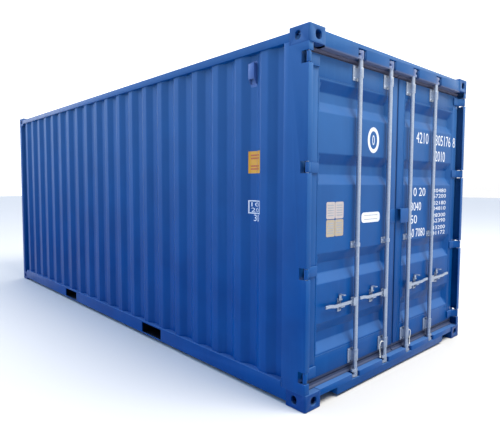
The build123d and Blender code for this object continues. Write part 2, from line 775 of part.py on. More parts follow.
def cam_keepers():
    """A keeper in each pocket: two ears on a back plate, open towards the outside."""
    keepers = []
    spans = [(BAR_LOW, SILL_TOP), (BAR_HIGH - KEEPER_HEIGHT, BAR_HIGH)]
    for place, hand in LOCK_BARS:
        near, far = pocket_range(place, hand)
        for z_range in spans:
            keeper = block((POCKET_X, POCKET_X + KEEPER_BACK), (near, far), z_range)
            front = REAR - KEEPER_SETBACK
            keeper += block((POCKET_X, front), (near, near + KEEPER_EAR), z_range)
            keeper += block((POCKET_X, front), (far - KEEPER_EAR, far), z_range)
            keepers.append(keeper)
    return keepers


def left_door_stiles():
    """The two upright tubes of the left leaf."""
    stiles = []
    inner = Rectangle(LEAF_DEPTH - 2 * STILE_WALL, STILE_WIDTH - 2 * STILE_WALL)
    section = Rectangle(LEAF_DEPTH, STILE_WIDTH) - inner
    for middle in (LEAF_SEAM_EDGE + STILE_WIDTH / 2, LEAF_OUTER_EDGE - STILE_WIDTH / 2):
        place = Pos(LEAF_FACE - LEAF_DEPTH / 2, -middle)
        stiles.append(extrude(Plane.XY.offset(LEAF_LOW) * place * section, LEAF_HIGH - LEAF_LOW))
    return stiles


def left_door_rails():
    """The two level channels of the left leaf, open to the inside."""
    near = LEAF_SEAM_EDGE + STILE_WIDTH
    far = LEAF_OUTER_EDGE - STILE_WIDTH
    rails = []
    for low in (LEAF_LOW, LEAF_HIGH - DOOR_RAIL_HEIGHT):
        high = low + DOOR_RAIL_HEIGHT
        line = [(LEAF_BACK, low), (LEAF_FACE, low), (LEAF_FACE, high), (LEAF_BACK, high)]
        rails.append(along_y(sheet_outline(line, DOOR_RAIL_WALL), -far, -near))
    return rails


def left_door_panel():
    """The pressed sheet of the left leaf with its four level recesses."""
    near = LEAF_SEAM_EDGE + STILE_WIDTH
    far = LEAF_OUTER_EDGE - STILE_WIDTH
    low = LEAF_LOW + DOOR_RAIL_HEIGHT
    high = LEAF_HIGH - DOOR_RAIL_HEIGHT
    panel = block((LEAF_FACE - PANEL_SHEET, LEAF_FACE), (-far, -near), (low, high))
    length = far - near - 2 * RECESS_END_MARGIN
    hollow = pressed_hollow(
        (length, RECESS_HEIGHT),
        (length - 2 * RECESS_END_SLOPE, RECESS_FLAT),
        RECESS_DEPTH,
    )
    outward = Plane(origin=(LEAF_FACE, -(near + far) / 2, LEAF_MIDDLE), x_dir=(0, 1, 0), z_dir=(1, 0, 0))
    for rise in RECESS_RISES:
        placed = outward * Pos(0, rise, 0) * hollow
        panel += Pos(-PANEL_SHEET, 0, 0) * placed
        panel -= placed
    return panel


def left_door_gasket():
    """The seal round the left leaf: one moulded ring with a lip towards the frame."""
    low = SILL_TOP + GASKET_GAP
    high = HEADER_LOW - GASKET_GAP
    front = REAR - GASKET_FRONT_SETBACK
    ring = block((LEAF_BACK, front), (-GASKET_SIDE_EDGE, -GASKET_SEAM_EDGE), (low, high))
    ring -= block((LEAF_BACK - 1, REAR), (-LEAF_OUTER_EDGE, -LEAF_SEAM_EDGE), (LEAF_LOW, LEAF_HIGH))
    groove_low = low + (LEAF_LOW - low) / 2
    groove_high = high - (high - LEAF_HIGH) / 2
    for height in (groove_low, groove_high):
        ring -= block(
            (front - GASKET_LIP_DEPTH, REAR),
            (-LEAF_OUTER_EDGE, -LEAF_SEAM_EDGE),
            (height - GASKET_LIP_DEPTH / 2, height + GASKET_LIP_DEPTH / 2),
        )
    return ring


def left_door_hinges():
    """Four hinge blades: a knuckle on the post's pin and a foot on the outer stile."""
    foot_x = LEAF_FACE - HINGE_X
    face_x = foot_x + BLADE_THICKNESS
    edge_y = LEAF_OUTER_EDGE - HINGE_Y
    outline = [
        (foot_x, edge_y - BLADE_LENGTH),
        (face_x, edge_y - BLADE_LENGTH),
        (face_x, edge_y - BLADE_THICKNESS),
        (KNUCKLE_TANGENT[1], -KNUCKLE_TANGENT[0]),
        (-KNUCKLE_TANGENT[0], KNUCKLE_TANGENT[1]),
        (foot_x, edge_y),
    ]
    points = [(HINGE_X + x, -HINGE_Y - y) for x, y in outline]
    hinges = []
    for middle in HINGE_HEIGHTS:
        low = middle - HINGE_HEIGHT / 2
        high = middle + HINGE_HEIGHT / 2
        blade = upright(points, low, high) + cylinder_up(HINGE_X, -HINGE_Y, low, high, KNUCKLE_RADIUS)
        blade -= cylinder_up(HINGE_X, -HINGE_Y, low - 1, high + 1, PIN_RADIUS + PIN_CLEARANCE)
        hinges.append(blade)
    return hinges


def bar_bracket(place, low, height, width, housing_height):
    """A plate on the leaf with a housing that goes round the lock bar."""
    plate_front = LEAF_FACE + BRACKET_PLATE
    bracket = block((LEAF_FACE, plate_front), (place - width / 2, place + width / 2), (low, low + height))
    middle = low + height / 2
    housing_low = middle - housing_height / 2
    housing_high = middle + housing_height / 2
    bracket += block(
        (LEAF_FACE, BAR_X),
        (place - HOUSING_RADIUS, place + HOUSING_RADIUS),
        (housing_low, housing_high),
    )
    bracket += cylinder_up(BAR_X, place, housing_low, housing_high, HOUSING_RADIUS)
    bracket -= cylinder_up(BAR_X, place, low, low + height, BAR_RADIUS + BAR_CLEARANCE)
    return bracket


def left_bar_brackets():
    """Top and bottom brackets and one guide for each of the left leaf's two bars."""
    brackets = []
    for place in (-BAR_INNER, -BAR_OUTER):
        for low in (LEAF_LOW + BRACKET_INSET, LEAF_HIGH - BRACKET_INSET - BRACKET_HEIGHT):
            brackets.append(bar_bracket(place, low, BRACKET_HEIGHT, BRACKET_WIDTH, HOUSING_HEIGHT))
        guide_low = GUIDE_Z - GUIDE_HEIGHT / 2
        brackets.append(bar_bracket(place, guide_low, GUIDE_HEIGHT, GUIDE_WIDTH, GUIDE_HOUSING_HEIGHT))
    return brackets


def retainer(place):
    """A plate on the leaf with a shelf under the handle and two ears for the catch."""
    half = RETAINER_WIDTH / 2
    plate_front = LEAF_FACE + RETAINER_PLATE
    shelf_top = HANDLE_Z - HANDLE_HEIGHT / 2 - SHELF_GAP
    shelf_front = BAR_X + HANDLE_THICKNESS / 2 + SHELF_OVERHANG
    sides = (place - half, place + half)
    piece = block((LEAF_FACE, plate_front), sides, (RETAINER_LOW, RETAINER_HIGH))
    piece += block((LEAF_FACE, shelf_front), sides, (shelf_top - SHELF_THICKNESS, shelf_top))
    gusset = [
        (LEAF_FACE, shelf_top),
        (shelf_front, shelf_top - SHELF_THICKNESS / 2),
        (LEAF_FACE, RETAINER_LOW),
    ]
    piece += along_y(gusset, place - EAR_THICKNESS / 2, place + EAR_THICKNESS / 2)
    ear_near = CATCH_WIDTH / 2 + CATCH_SIDE_GAP
    for side in (-1, 1):
        piece += block(
            (LEAF_FACE, CATCH_X + CATCH_BARREL_RADIUS),
            (place + side * ear_near, place + side * (ear_near + EAR_THICKNESS)),
            (CATCH_Z - CATCH_BARREL_RADIUS, CATCH_Z + CATCH_BARREL_RADIUS),
        )
    pin = Cylinder(CATCH_PIN_RADIUS, 2 * ear_near + EAR_THICKNESS, rotation=(90, 0, 0))
    piece += Pos(CATCH_X, place, CATCH_Z) * pin
    return piece


def retainer_place(bar):
    """Where a bar's retainer sits across the doors."""
    place, hand = bar
    return place + hand * RETAINER_DISTANCE


def lock_bar(bar):
    """A tube with a two-clawed cam at each end, a collar and the handle's hub."""
    place, hand = bar
    piece = cylinder_up(BAR_X, place, BAR_LOW, BAR_HIGH, BAR_RADIUS)
    for low in (BAR_LOW, BAR_HIGH - CAM_HEIGHT):
        piece += cylinder_up(BAR_X, place, low, low + CAM_HEIGHT, CAM_COLLAR_RADIUS)
        claw = SlotOverall(CAM_REACH + CAM_WIDTH / 2, CAM_WIDTH, rotation=90)
        middle_y = place + hand * (CAM_REACH - CAM_WIDTH / 2) / 2
        for claw_low in (low, low + CAM_HEIGHT - CAM_CLAW):
            piece += Pos(BAR_X, middle_y, claw_low) * extrude(claw, CAM_CLAW)
    collar_low = LEAF_LOW + BRACKET_INSET + (BRACKET_HEIGHT + HOUSING_HEIGHT) / 2 + BAR_CLEARANCE
    piece += cylinder_up(BAR_X, place, collar_low, collar_low + COLLAR_HEIGHT, COLLAR_RADIUS)
    hub_z = (HANDLE_Z - HUB_HEIGHT / 2, HANDLE_Z + HUB_HEIGHT / 2)
    hub_end = place + hand * HUB_LENGTH
    piece += block((BAR_X - HUB_WIDTH / 2, BAR_X + HUB_WIDTH / 2), (place, hub_end), hub_z)
    slot_half = HANDLE_THICKNESS / 2 + HUB_SIDE_GAP
    slot_start = place + hand * (HANDLE_PIVOT - HANDLE_EYE_RADIUS - HUB_END_GAP)
    piece -= block((BAR_X - slot_half, BAR_X + slot_half), (slot_start, hub_end), hub_z)
    pin = Cylinder(HANDLE_PIN_RADIUS, HUB_WIDTH, rotation=(0, 90, 0))
    piece += Pos(BAR_X, place + hand * HANDLE_PIVOT, HANDLE_Z) * pin
    piece -= cylinder_up(BAR_X, place, BAR_LOW - 1, BAR_HIGH + 1, BAR_BORE)
    return piece


def handle(bar):
    """A flat lever with an eye on the hub's pin and a raised grip at its end."""
    place, hand = bar
    half = HANDLE_HEIGHT / 2
    outline = [
        (HANDLE_PIVOT, -half),
        (HANDLE_LENGTH - HANDLE_GRIP_LENGTH, -half),
        (HANDLE_LENGTH - HANDLE_GRIP_LENGTH / 2, -half + HANDLE_GRIP_RISE),
        (HANDLE_LENGTH, -half + HANDLE_GRIP_RISE),
        (HANDLE_LENGTH, half + HANDLE_GRIP_RISE),
        (HANDLE_LENGTH - HANDLE_GRIP_LENGTH / 2, half + HANDLE_GRIP_RISE),
        (HANDLE_LENGTH - HANDLE_GRIP_LENGTH, half),
        (HANDLE_PIVOT, half),
    ]
    points = [(place + hand * y, HANDLE_Z + z) for y, z in outline]
    lever = along_x(points, BAR_X - HANDLE_THICKNESS / 2, BAR_X + HANDLE_THICKNESS / 2)
    tip_edges = lever.edges().filter_by(Axis.X).sort_by(lambda edge: hand * edge.center().Y)[-2:]
    lever = fillet(tip_edges, HANDLE_TIP_ROUND)
    pivot = Pos(BAR_X, place + hand * HANDLE_PIVOT, HANDLE_Z)
    lever += pivot * Cylinder(HANDLE_EYE_RADIUS, HANDLE_THICKNESS, rotation=(0, 90, 0))
    lever -= pivot * Cylinder(HANDLE_PIN_RADIUS + PIN_CLEARANCE, HUB_WIDTH, rotation=(0, 90, 0))
    return lever


def catch(bar):
    """A bent flap that stands up at rest and folds out and down in front of the handle."""
    place = retainer_place(bar)
    sides = (place - CATCH_WIDTH / 2, place + CATCH_WIDTH / 2)
    half = CATCH_THICKNESS / 2
    barrel = Cylinder(CATCH_BARREL_RADIUS, CATCH_WIDTH, rotation=(90, 0, 0))
    piece = Pos(CATCH_X, place, CATCH_Z) * barrel
    top = CATCH_Z + CATCH_LEG
    piece += block((CATCH_X - half, CATCH_X + half), sides, (CATCH_Z, top + half))
    piece += block((CATCH_X - half, CATCH_X + CATCH_TONGUE), sides, (top - half, top + half))
    bore = Cylinder(CATCH_PIN_RADIUS + PIN_CLEARANCE, CATCH_WIDTH + 2, rotation=(90, 0, 0))
    piece -= Pos(CATCH_X, place, CATCH_Z) * bore
    return piece


def right_lock_box():
    """A housing over the padlock place on the right leaf, open below and towards the left leaf."""
    high = LOCK_BOX_LOW + LOCK_BOX_HEIGHT
    box = block((LEAF_FACE, LEAF_FACE + LOCK_BOX_DEPTH), (LOCK_BOX_NEAR, LOCK_BOX_FAR), (LOCK_BOX_LOW, high))
    box = fillet(box.edges().filter_by(Axis.Z).sort_by(Axis.X)[-2:], LOCK_BOX_WALL)
    box -= block(
        (LEAF_FACE + LOCK_BOX_WALL, LEAF_FACE + LOCK_BOX_DEPTH - LOCK_BOX_WALL),
        (LOCK_BOX_NEAR, LOCK_BOX_FAR - LOCK_BOX_WALL),
        (LOCK_BOX_LOW - 1, high - LOCK_BOX_WALL),
    )
    return box


def left_lock_plate():
    """The plate on the left leaf that faces the lock box."""
    return block(
        (LEAF_FACE, LEAF_FACE + LOCK_PLATE_THICKNESS),
        (-LOCK_BOX_NEAR - LOCK_PLATE_WIDTH, -LOCK_BOX_NEAR),
        (LOCK_BOX_LOW, LOCK_BOX_LOW + LOCK_BOX_HEIGHT),
    )


def rope_tube(points):
    """A round tube along straight runs joined by tangent arcs."""
    radii = []
    for before, corner, after in zip(points, points[1:], points[2:]):
        turn = (Vector(*corner) - Vector(*before)).get_angle(Vector(*after) - Vector(*corner))
        shorter = min(math.dist(before, corner), math.dist(corner, after))
        radii.append(ROPE_BEND_SHARE * shorter / math.tan(math.radians(turn) / 2))
    print("rope bend radii in mm:", [round(radius) for radius in radii])
    path = FilletPolyline(*points, radius=radii)
    return sweep(Plane(path @ 0, z_dir=path % 0) * Circle(ROPE_RADIUS), path)


def right_tie_rope():
    """The right leaf's rope with the knot at its hanging end."""
    points = [(BAR_X + x, BAR_INNER + y, z) for x, y, z in ROPE_ROUTE]
    return rope_tube(points) + Pos(*points[-1]) * Sphere(ROPE_KNOT_RADIUS)


def both_sides(shapes):
    """A list of left pieces with their mirror images."""
    return shapes + [mirrored(shape) for shape in shapes]


def all_nodes():
    """Every named piece of the container with its solids."""
    casting = corner_casting()
    raised = Pos(0, 0, HEIGHT) * mirror(casting, about=Plane.XY)
    nodes = {
        "bottom_corner_castings": placed_castings(casting),
        "top_corner_castings": placed_castings(raised),
        "left_rear_post": [left_rear_post()],
        "right_rear_post": [mirrored(left_rear_post())],
        "front_posts": both_sides([left_front_post()]),
        "hinge_pins": both_sides(left_hinge_pins()),
        "top_side_rails": both_sides([left_top_rail()]),
        "bottom_side_rails": both_sides([left_bottom_rail()]),
        "front_top_rail": [front_rail(TOP_RAIL_LOW, TOP_RAIL_HIGH)],
        "front_bottom_rail": [front_rail(BOTTOM_RAIL_LOW, BOTTOM_RAIL_TOP)],
        "door_header": [door_header()],
        "door_sill": [door_sill()],
        "left_side_wall": [left_side_wall()],
        "right_side_wall": [mirrored(left_side_wall())],
        "front_wall": [front_wall()],
        "roof_panel": [roof_panel()],
        "front_roof_plate": [front_roof_plate()],
        "roof_corner_plates": roof_corner_plates(),
        "cross_members": cross_members(),
        "fork_pockets": [fork_pocket(side) for side in (-1, 1)],
        "plywood_floor": [plywood_floor()],
        "side_vents": both_sides([left_vent()]),
        "cam_keepers": cam_keepers(),
    }
    door_pieces = {
        "door_stiles": left_door_stiles(),
        "door_rails": left_door_rails(),
        "door_panel": [left_door_panel()],
        "door_gasket": [left_door_gasket()],
        "door_hinges": left_door_hinges(),
        "bar_brackets": left_bar_brackets(),
        "handle_retainers": [retainer(retainer_place(bar)) for bar in LOCK_BARS[:2]],
        "tie_rope": [mirrored(right_tie_rope())],
    }
    for name, shapes in door_pieces.items():
        nodes["left_" + name] = shapes
        nodes["right_" + name] = [mirrored(shape) for shape in shapes]
    nodes["left_lock_plate"] = [left_lock_plate()]
    nodes["right_lock_box"] = [right_lock_box()]
    for number, bar in enumerate(LOCK_BARS, start=1):
        nodes[f"lock_bar_{number}"] = [lock_bar(bar)]
        nodes[f"handle_{number}"] = [handle(bar)]
        nodes[f"catch_{number}"] = [catch(bar)]
    return nodes


def solids_of(shapes):
    """The solids of a node's shapes."""
    return [solid for shape in shapes for solid in shape.solids()]


os.makedirs("parts", exist_ok=True)
for node_name, node_shapes in all_nodes().items():
    export_step(Compound(children=solids_of(node_shapes)), f"parts/{node_name}.step")
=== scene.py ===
"""Looks for a twenty foot dry freight container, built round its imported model."""

import json
import math

import bmesh
import bpy
from mathutils import Matrix, Quaternion, Vector

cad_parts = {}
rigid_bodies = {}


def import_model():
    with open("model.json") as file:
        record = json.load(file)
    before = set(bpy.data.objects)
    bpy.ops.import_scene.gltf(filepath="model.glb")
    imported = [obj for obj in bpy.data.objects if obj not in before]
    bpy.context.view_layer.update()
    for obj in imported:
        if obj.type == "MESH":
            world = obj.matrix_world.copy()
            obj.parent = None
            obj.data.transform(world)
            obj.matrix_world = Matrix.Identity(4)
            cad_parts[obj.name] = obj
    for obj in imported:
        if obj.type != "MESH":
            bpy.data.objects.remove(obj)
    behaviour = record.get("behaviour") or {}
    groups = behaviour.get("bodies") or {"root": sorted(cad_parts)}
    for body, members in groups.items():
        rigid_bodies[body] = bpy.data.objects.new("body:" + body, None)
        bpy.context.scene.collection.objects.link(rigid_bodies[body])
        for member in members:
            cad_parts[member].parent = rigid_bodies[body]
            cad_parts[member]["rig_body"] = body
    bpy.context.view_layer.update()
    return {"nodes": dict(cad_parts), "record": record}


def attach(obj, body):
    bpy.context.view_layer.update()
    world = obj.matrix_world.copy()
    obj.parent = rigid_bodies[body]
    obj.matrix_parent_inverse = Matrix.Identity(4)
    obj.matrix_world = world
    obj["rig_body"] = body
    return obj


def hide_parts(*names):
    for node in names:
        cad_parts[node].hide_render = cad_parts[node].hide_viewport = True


# Millimetres to the metres of the scene
MM = 0.001

# Edges of the solids that turn more than this are eased, in degrees
SHARP_EDGE = 30

# Sharpest turns that are still shaded smooth, in degrees
EASED_SMOOTH = 35
FIN_SMOOTH = 40
PANEL_SMOOTH = 50
WALL_SMOOTH = 60
ROUND_SMOOTH = 60

# Corrugated walls, as in the part's source
WALL_FRONT = -2851 * MM
WALL_REAR = 2806 * MM
WALL_LOW = 155 * MM
WALL_HIGH = 2501 * MM
SIDE_PLANE = 1204 * MM
SHEET = 2 * MM
FRONT_HALF = 1057 * MM
FRONT_PLANE = -3020 * MM

# Folds: the middles of the first and last one, their pitch, flat, slope, depth and soft bend
SIDE_FOLDS = {
    "First": -2739 * MM, "Last": 2600 * MM, "Pitch": 281 * MM,
    "Flat": 72 * MM, "Slope": 68 * MM, "Depth": 36 * MM, "Bend": 7 * MM}
FRONT_FOLDS = {
    "First": -875 * MM, "Last": 875 * MM, "Pitch": 250 * MM,
    "Flat": 110 * MM, "Slope": 18 * MM, "Depth": 45.6 * MM, "Bend": 7 * MM}
# Trays pressed into the roof and the door panels, on both sides of the middle, have ends as well
ROOF_TRAYS = {
    "First": 104.5 * MM, "Last": 2612.5 * MM, "Pitch": 209 * MM,
    "Flat": 91 * MM, "Slope": 13.5 * MM, "Depth": 20 * MM, "Bend": 4 * MM,
    "Length": 2230 * MM, "End slope": 30 * MM}
DOOR_TRAYS = {
    "First": 351 * MM, "Last": 850 * MM, "Pitch": 499 * MM,
    "Flat": 70 * MM, "Slope": 74 * MM, "Depth": 36 * MM, "Bend": 3 * MM,
    "Length": 918 * MM, "End slope": 44 * MM}

# Posts, castings and the beams between them
OUTSIDE = (3029 * MM, 1219 * MM, 2591 * MM)
CASTING_X = 2851 * MM
CASTING_Y = 1057 * MM
CASTING_TOP = 118 * MM
CASTING_EDGE = 2.5 * MM
CASTING_CORNER = 18 * MM
POST_FACE = 3023 * MM
TOP_CASTING_LOW = 2473 * MM
HEADER_FACE = 3025 * MM
HEADER_SPAN = (2460 * MM, 2568 * MM)
SILL_SPAN = (20 * MM, 121 * MM)
# The castings' outer planes along each axis, without those that a post stands on
CASTING_PLANES = ((OUTSIDE[0], CASTING_X), (OUTSIDE[1], CASTING_Y), (0.0, OUTSIDE[2]))

# Roof sheet
ROOF_ENDS = (-2851 * MM, 2848 * MM)
ROOF_HALF = 1205 * MM
ROOF_TOP = 2563 * MM
ROOF_MIDDLE = -1.5 * MM

# Vents, floor and cross members
VENT_X = 2459.5 * MM
VENT_SPAN = (2289 * MM, 2439 * MM)
VENT_FLANGE = 2 * MM
VENT_RIM_GAP = 0.2 * MM
VENT_RIM_WIDTH = 68 * MM
VENT_RIM_CORNER = 8 * MM
VENT_RIM_PAST = 18 * MM
RECESS_PLANE = 1168 * MM
FLOOR_TOP = 172 * MM
BEARER_START = -2673 * MM
BEARER_PITCH = 290 * MM
BEARER_COUNT = 19

# Gasket's thin fins, which lie against the header and the sill
GASKET_SPAN = (6 * MM, 1160 * MM)
# A fin's section from its start, forward and upwards, in millimetres
FIN_SECTION = [(-2.0, -9.0), (-1.0, -2.0), (9.0, 2.5), (18.0, 3.5), (18.0, 1.5), (10.0, 0.0), (2.0, -6.0)]
FIN_START = 2958 * MM
FIN_TOP = 2455 * MM
FIN_LOW = 126 * MM

# Door leaves and lock gear
DOORS = ((-1, "left_door"), (1, "right_door"))
LEAF_FACE = 2969 * MM
LEAF_MIDDLE = 1308 * MM
PANEL_EDGES = (112 * MM, 1050 * MM)
PANEL_HALF = 973 * MM
HINGE_X = 3008 * MM
HINGE_Y = 1200 * MM
HINGE_HEIGHTS = [237 * MM, 951 * MM, 1665 * MM, 2379 * MM]
HINGE_REACH = 54 * MM
BAR_X = 3002 * MM
BAR_PLACES = (179 * MM, 603 * MM)
BRACKET_HEIGHTS = [245 * MM, 2371 * MM]
BRACKET_FRONT = LEAF_FACE + 8 * MM
GUIDE_HEIGHT = 1101 * MM
RETAINER_REACH = 175 * MM
RETAINER_LOW = 616 * MM
RETAINER_FRONT = LEAF_FACE + 6 * MM
BAR_EDGE = 1.5 * MM
HANDLE_EDGE = 2.5 * MM
CATCH_EDGE = 1 * MM

# Round heads: their radius and height, how far each sits from its piece's middle or end, and their ways
BRACKET_RIVET = (8 * MM, 4.5 * MM)
BRACKET_RIVET_REACH = (44 * MM, 40 * MM)
GUIDE_RIVET_REACH = 35 * MM
RETAINER_RIVET = (6 * MM, 3.5 * MM)
RETAINER_RIVET_REACH = 13 * MM
HINGE_PIN_END = (8 * MM, 2.5 * MM)
VENT_RIVET = (4 * MM, 2 * MM)
VENT_RIVET_REACH = 24 * MM
VENT_RIVET_PAST = 9 * MM
FLOOR_SCREW = (6 * MM, 0.7 * MM)
FLOOR_SCREW_PITCH = 140 * MM
FLOOR_SCREW_ROWS = range(-8, 9)
PLATE_RIVET = (2.6 * MM, 1.4 * MM)
PLATE_RIVET_REACH = (42 * MM, 53 * MM)
OUT_OF_DOOR = (1.0, 0.0, 0.0)
UPWARDS = (0.0, 0.0, 1.0)

# Marks and plates on the doors: the gap under them, their thicknesses, and the figures' middle plane
MARK_GAP = 0.1 * MM
FILM_THICKNESS = 0.4 * MM
PLATE_THICKNESS = 1.2 * MM
LINE_THICKNESS = 0.2 * MM
FIELD_THICKNESS = 0.15 * MM
FIGURE_MIDDLE = 0.3 * MM
FIGURE_THICKNESS = 0.2 * MM

# Their middles across and up; an outline is a width, a height and the round of its corners
RING_MIDDLE = (-359 * MM, 1901 * MM)
RING_OUTER = (80 * MM, 100 * MM)
RING_INNER = (52 * MM, 70 * MM)
RING_STEPS = 40
LABEL_MIDDLE = (-374 * MM, 1296 * MM)
LABEL_OUTLINE = (260 * MM, 80 * MM, 30 * MM)
LABEL_LINE_HEIGHTS = (1312 * MM, 1281 * MM)
LABEL_LINE_OUTLINE = (190 * MM, 5 * MM, 2 * MM)
PLATE_COLUMNS = (-893 * MM, -790 * MM)
PLATE_ROWS = (1366 * MM, 1238 * MM)
PLATE_OUTLINE = (100 * MM, 122 * MM, 12 * MM)
FIELD_COUNT = 5
FIELD_PITCH = 18 * MM
FIELD_OUTLINE = (70 * MM, 8 * MM, 1 * MM)

# Figures: their lower corner across and up, their width and their height, in millimetres
RING_FIGURE = ("0", -376, 1862, 34, 78)
FIGURE_ROWS = [
    ("4210", 330, 1926, 225, 98),
    ("305176", 700, 1926, 320, 98),
    ("8", 1072, 1926, 52, 98),
    ("2010", 700, 1776, 205, 98),
    ("10 20", 262, 1452, 265, 76),
    ("3040", 262, 1322, 190, 76),
    ("50", 262, 1206, 120, 76),
    ("60 7080", 250, 1084, 285, 76),
]
FIGURE_PAIRS = [("30480", "67200"), ("02180", "04810"), ("28300", "62390"), ("33200", "01172")]
PAIR_ACROSS = 686
PAIR_TOPS = [1534, 1416, 1298, 1180]
PAIR_LINE_DROP = 52
PAIR_SIZE = (270, 36)

# Films on the left wall: their middle along X, how far they stand off it, heights and sizes
FILM_X = 2482 * MM
FILM_RISE = 0.4 * MM
BAND_RISE = 0.8 * MM
WALL_FILM_THICKNESS = 0.2 * MM
YELLOW_FILM_HEIGHT = 1716 * MM
YELLOW_FILM_SIZE = (150 * MM, 165 * MM)
BAND_HEIGHTS = (1768 * MM, 1745 * MM, 1688 * MM, 1666 * MM)
BAND_SIZE = (112 * MM, 12 * MM)
SQUARE_MIDDLE = 1380 * MM
# Its sides and figures from its middle: along and up, width and height, in millimetres
SQUARE_SIDES = (("left", -70, 0, 9, 100), ("right", 70, 0, 9, 100),
                ("top", 0, 46, 149, 8), ("bottom", 0, -46, 149, 8))
SQUARE_FIGURES = (("10", -48, 4, 96, 32), ("20", -48, -38, 96, 32), ("30", -20, -106, 80, 50))

# Welds: the beads' radii, the length of a ripple, and the posts' welds from edge to edge
WALL_WELD = (2.5 * MM, 14 * MM)
CASTING_WELD = (3 * MM, 12 * MM)
PANEL_WELD = (2.2 * MM, 12 * MM)
POST_WELD_SPAN = (1213 * MM, 1175 * MM)

# Tie rope on each inner bar's bottom bracket
STRAND_RADIUS = 2.1 * MM
STRAND_REACH = 1.9 * MM
STRAND_COUNT = 3
LAY_LENGTH = 22 * MM
KNOT_SIZE = 6 * MM
KNOT_RADIUS = 3 * MM
KNOT_STEPS = 48
# The right rope's route in millimetres: out and across from its bar's axis, and height
ROPE_ROUTE = [
    (1.0, 24.0, 258.0),
    (1.0, 34.7, 265.0),
    (1.5, 47.8, 266.9),
    (2.0, 60.4, 262.8),
    (2.0, 70.5, 253.0),
    (1.5, 75.6, 239.0),
    (0.0, 73.8, 222.0),
    (-1.5, 68.6, 202.0),
    (-2.0, 64.6, 180.0),
    (-1.0, 62.6, 158.0),
    (0.5, 63.4, 138.0),
]

# Tones over the finishes, painted light among them: the spans over which each effect comes or goes
SKY_SHEEN_RISE = (700 * MM, 2500 * MM)
SKY_REFLECTION_RISE = (800 * MM, 1800 * MM)
UNDERSEAL_AND_SHADE_LENGTH = (2790 * MM, 2800 * MM)
UNDERSEAL_AND_SHADE_WIDTH = (1206 * MM, 1212 * MM)
UNDERSEAL_AND_SHADE_RISE = (145 * MM, 150 * MM)
GREY_BAND_TOP = (2462 * MM, 2476 * MM)
GREY_BAND_LOW = (2445 * MM, 2458 * MM)
GREY_BAND_FRONT = (2840 * MM, 2850 * MM)
GREY_BAND_WIDTH = (1160 * MM, 1190 * MM)
ZINC_LOW_DARKENING_RISE = (200 * MM, 2200 * MM)
CAM_TINT_RISE = (2450 * MM, 2480 * MM)
RUBBER_SHADE_RISE = (200 * MM, 2400 * MM)

# Sizes of the patterns in the finishes
PAINT_PATCHES = 350 * MM
DUST_RUNS = 45 * MM
ZINC_CRYSTALS = 9 * MM
ZINC_GRIT = 5 * MM
RUBBER_BLOOM = 60 * MM
RUBBER_GRAIN = 3 * MM
WOOD_GRAIN = 9 * MM
BOARD_SIZE = (2400 * MM, 1160 * MM)
BOARD_GAP = 1.5 * MM

# Photograph's camera
CAMERA_PLACE = (4.9565, -3.5184, 1.5452)
CAMERA_TURN = math.radians(42.561)
CAMERA_TILT = math.radians(-3.801)
CAMERA_ROLL = math.radians(0.236)
CAMERA_LENS = 32.71
CAMERA_SHIFT = (0.0038, -0.0125)

# Sky: its strength at the horizon and above, and the ways it is brighter and darker
SKY_LOW = 1.0
SKY_HIGH = 1.7
SKY_BRIGHT_WAY = (-0.9, -0.42, 0.1)
SKY_SHADED_WAY = (0.2, -0.98, 0.0)
SKY_DOORS_WAY = (1.0, 0.0, 0.0)

# Lamp over the doors: a large square, its place, the point that it faces, its side and its power
LAMP_PLACE = (9.5, 1.5, 15.0)
LAMP_TARGET = (2.0, 0, 1.2)
LAMP_SIDE = 8.0
LAMP_POWER = 3400.0
LAMP_COLOUR = (1.0, 0.96, 0.88)
FLOOR_HALF = 60.0

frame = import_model()


# Colours and nodes

def linear(hex_colour):
    """An sRGB hex colour as linear red, green and blue with full alpha."""
    values = [int(hex_colour[start:start + 2], 16) / 255 for start in (1, 3, 5)]
    return tuple(v / 12.92 if v <= 0.04045 else ((v + 0.055) / 1.055) ** 2.4 for v in values) + (1.0,)


def set_inputs(tree, node, inputs):
    """Fills a node's inputs, by name or in order, with values, outputs, or the first output of nodes."""
    if isinstance(inputs, dict):
        pairs = [(node.inputs[name], value) for name, value in inputs.items()]
    else:
        pairs = zip([socket for socket in node.inputs if socket.enabled], inputs)
    for socket, value in pairs:
        if isinstance(value, bpy.types.Node):
            value = next(output for output in value.outputs if output.enabled)
        if isinstance(value, bpy.types.NodeSocket):
            tree.links.new(value, socket)
        else:
            socket.default_value = value


def add_node(tree, kind, inputs=(), **settings):
    """A node with its settings and its inputs filled."""
    node = tree.nodes.new(kind)
    for name, value in settings.items():
        setattr(node, name, value)
    set_inputs(tree, node, inputs)
    return node


def worked_out(tree, formula):
    """The nodes of a formula, such as ("SUBTRACT", first, ("ABSOLUTE", second)), or a plain value."""
    if not isinstance(formula, tuple):
        return formula
    operation, *terms = formula
    return add_node(
        tree, "ShaderNodeMath", [worked_out(tree, term) for term in terms], operation=operation)


def faded(tree, *fades):
    """The product of some fades: each carries a value from one span to another, held at its ends."""
    first, *others = [add_node(tree, "ShaderNodeMapRange", fade) for fade in fades]
    for share in others:
        first = worked_out(tree, ("MULTIPLY", first, share))
    return first


def tinted(tree, colour, *tints):
    """A colour with others over it, each by its own share."""
    for share, tint in tints:
        colour = add_node(tree, "ShaderNodeMix", (share, colour, linear(tint)), data_type="RGBA")
    return colour


def new_material(name):
    """A material with its tree, its shader and the object's own coordinates."""
    material = bpy.data.materials.new(name)
    material.use_nodes = True
    tree = material.node_tree
    shader = tree.nodes["Principled BSDF"]
    place = add_node(tree, "ShaderNodeTexCoord").outputs["Object"]
    return material, tree, shader, place


# Finishes

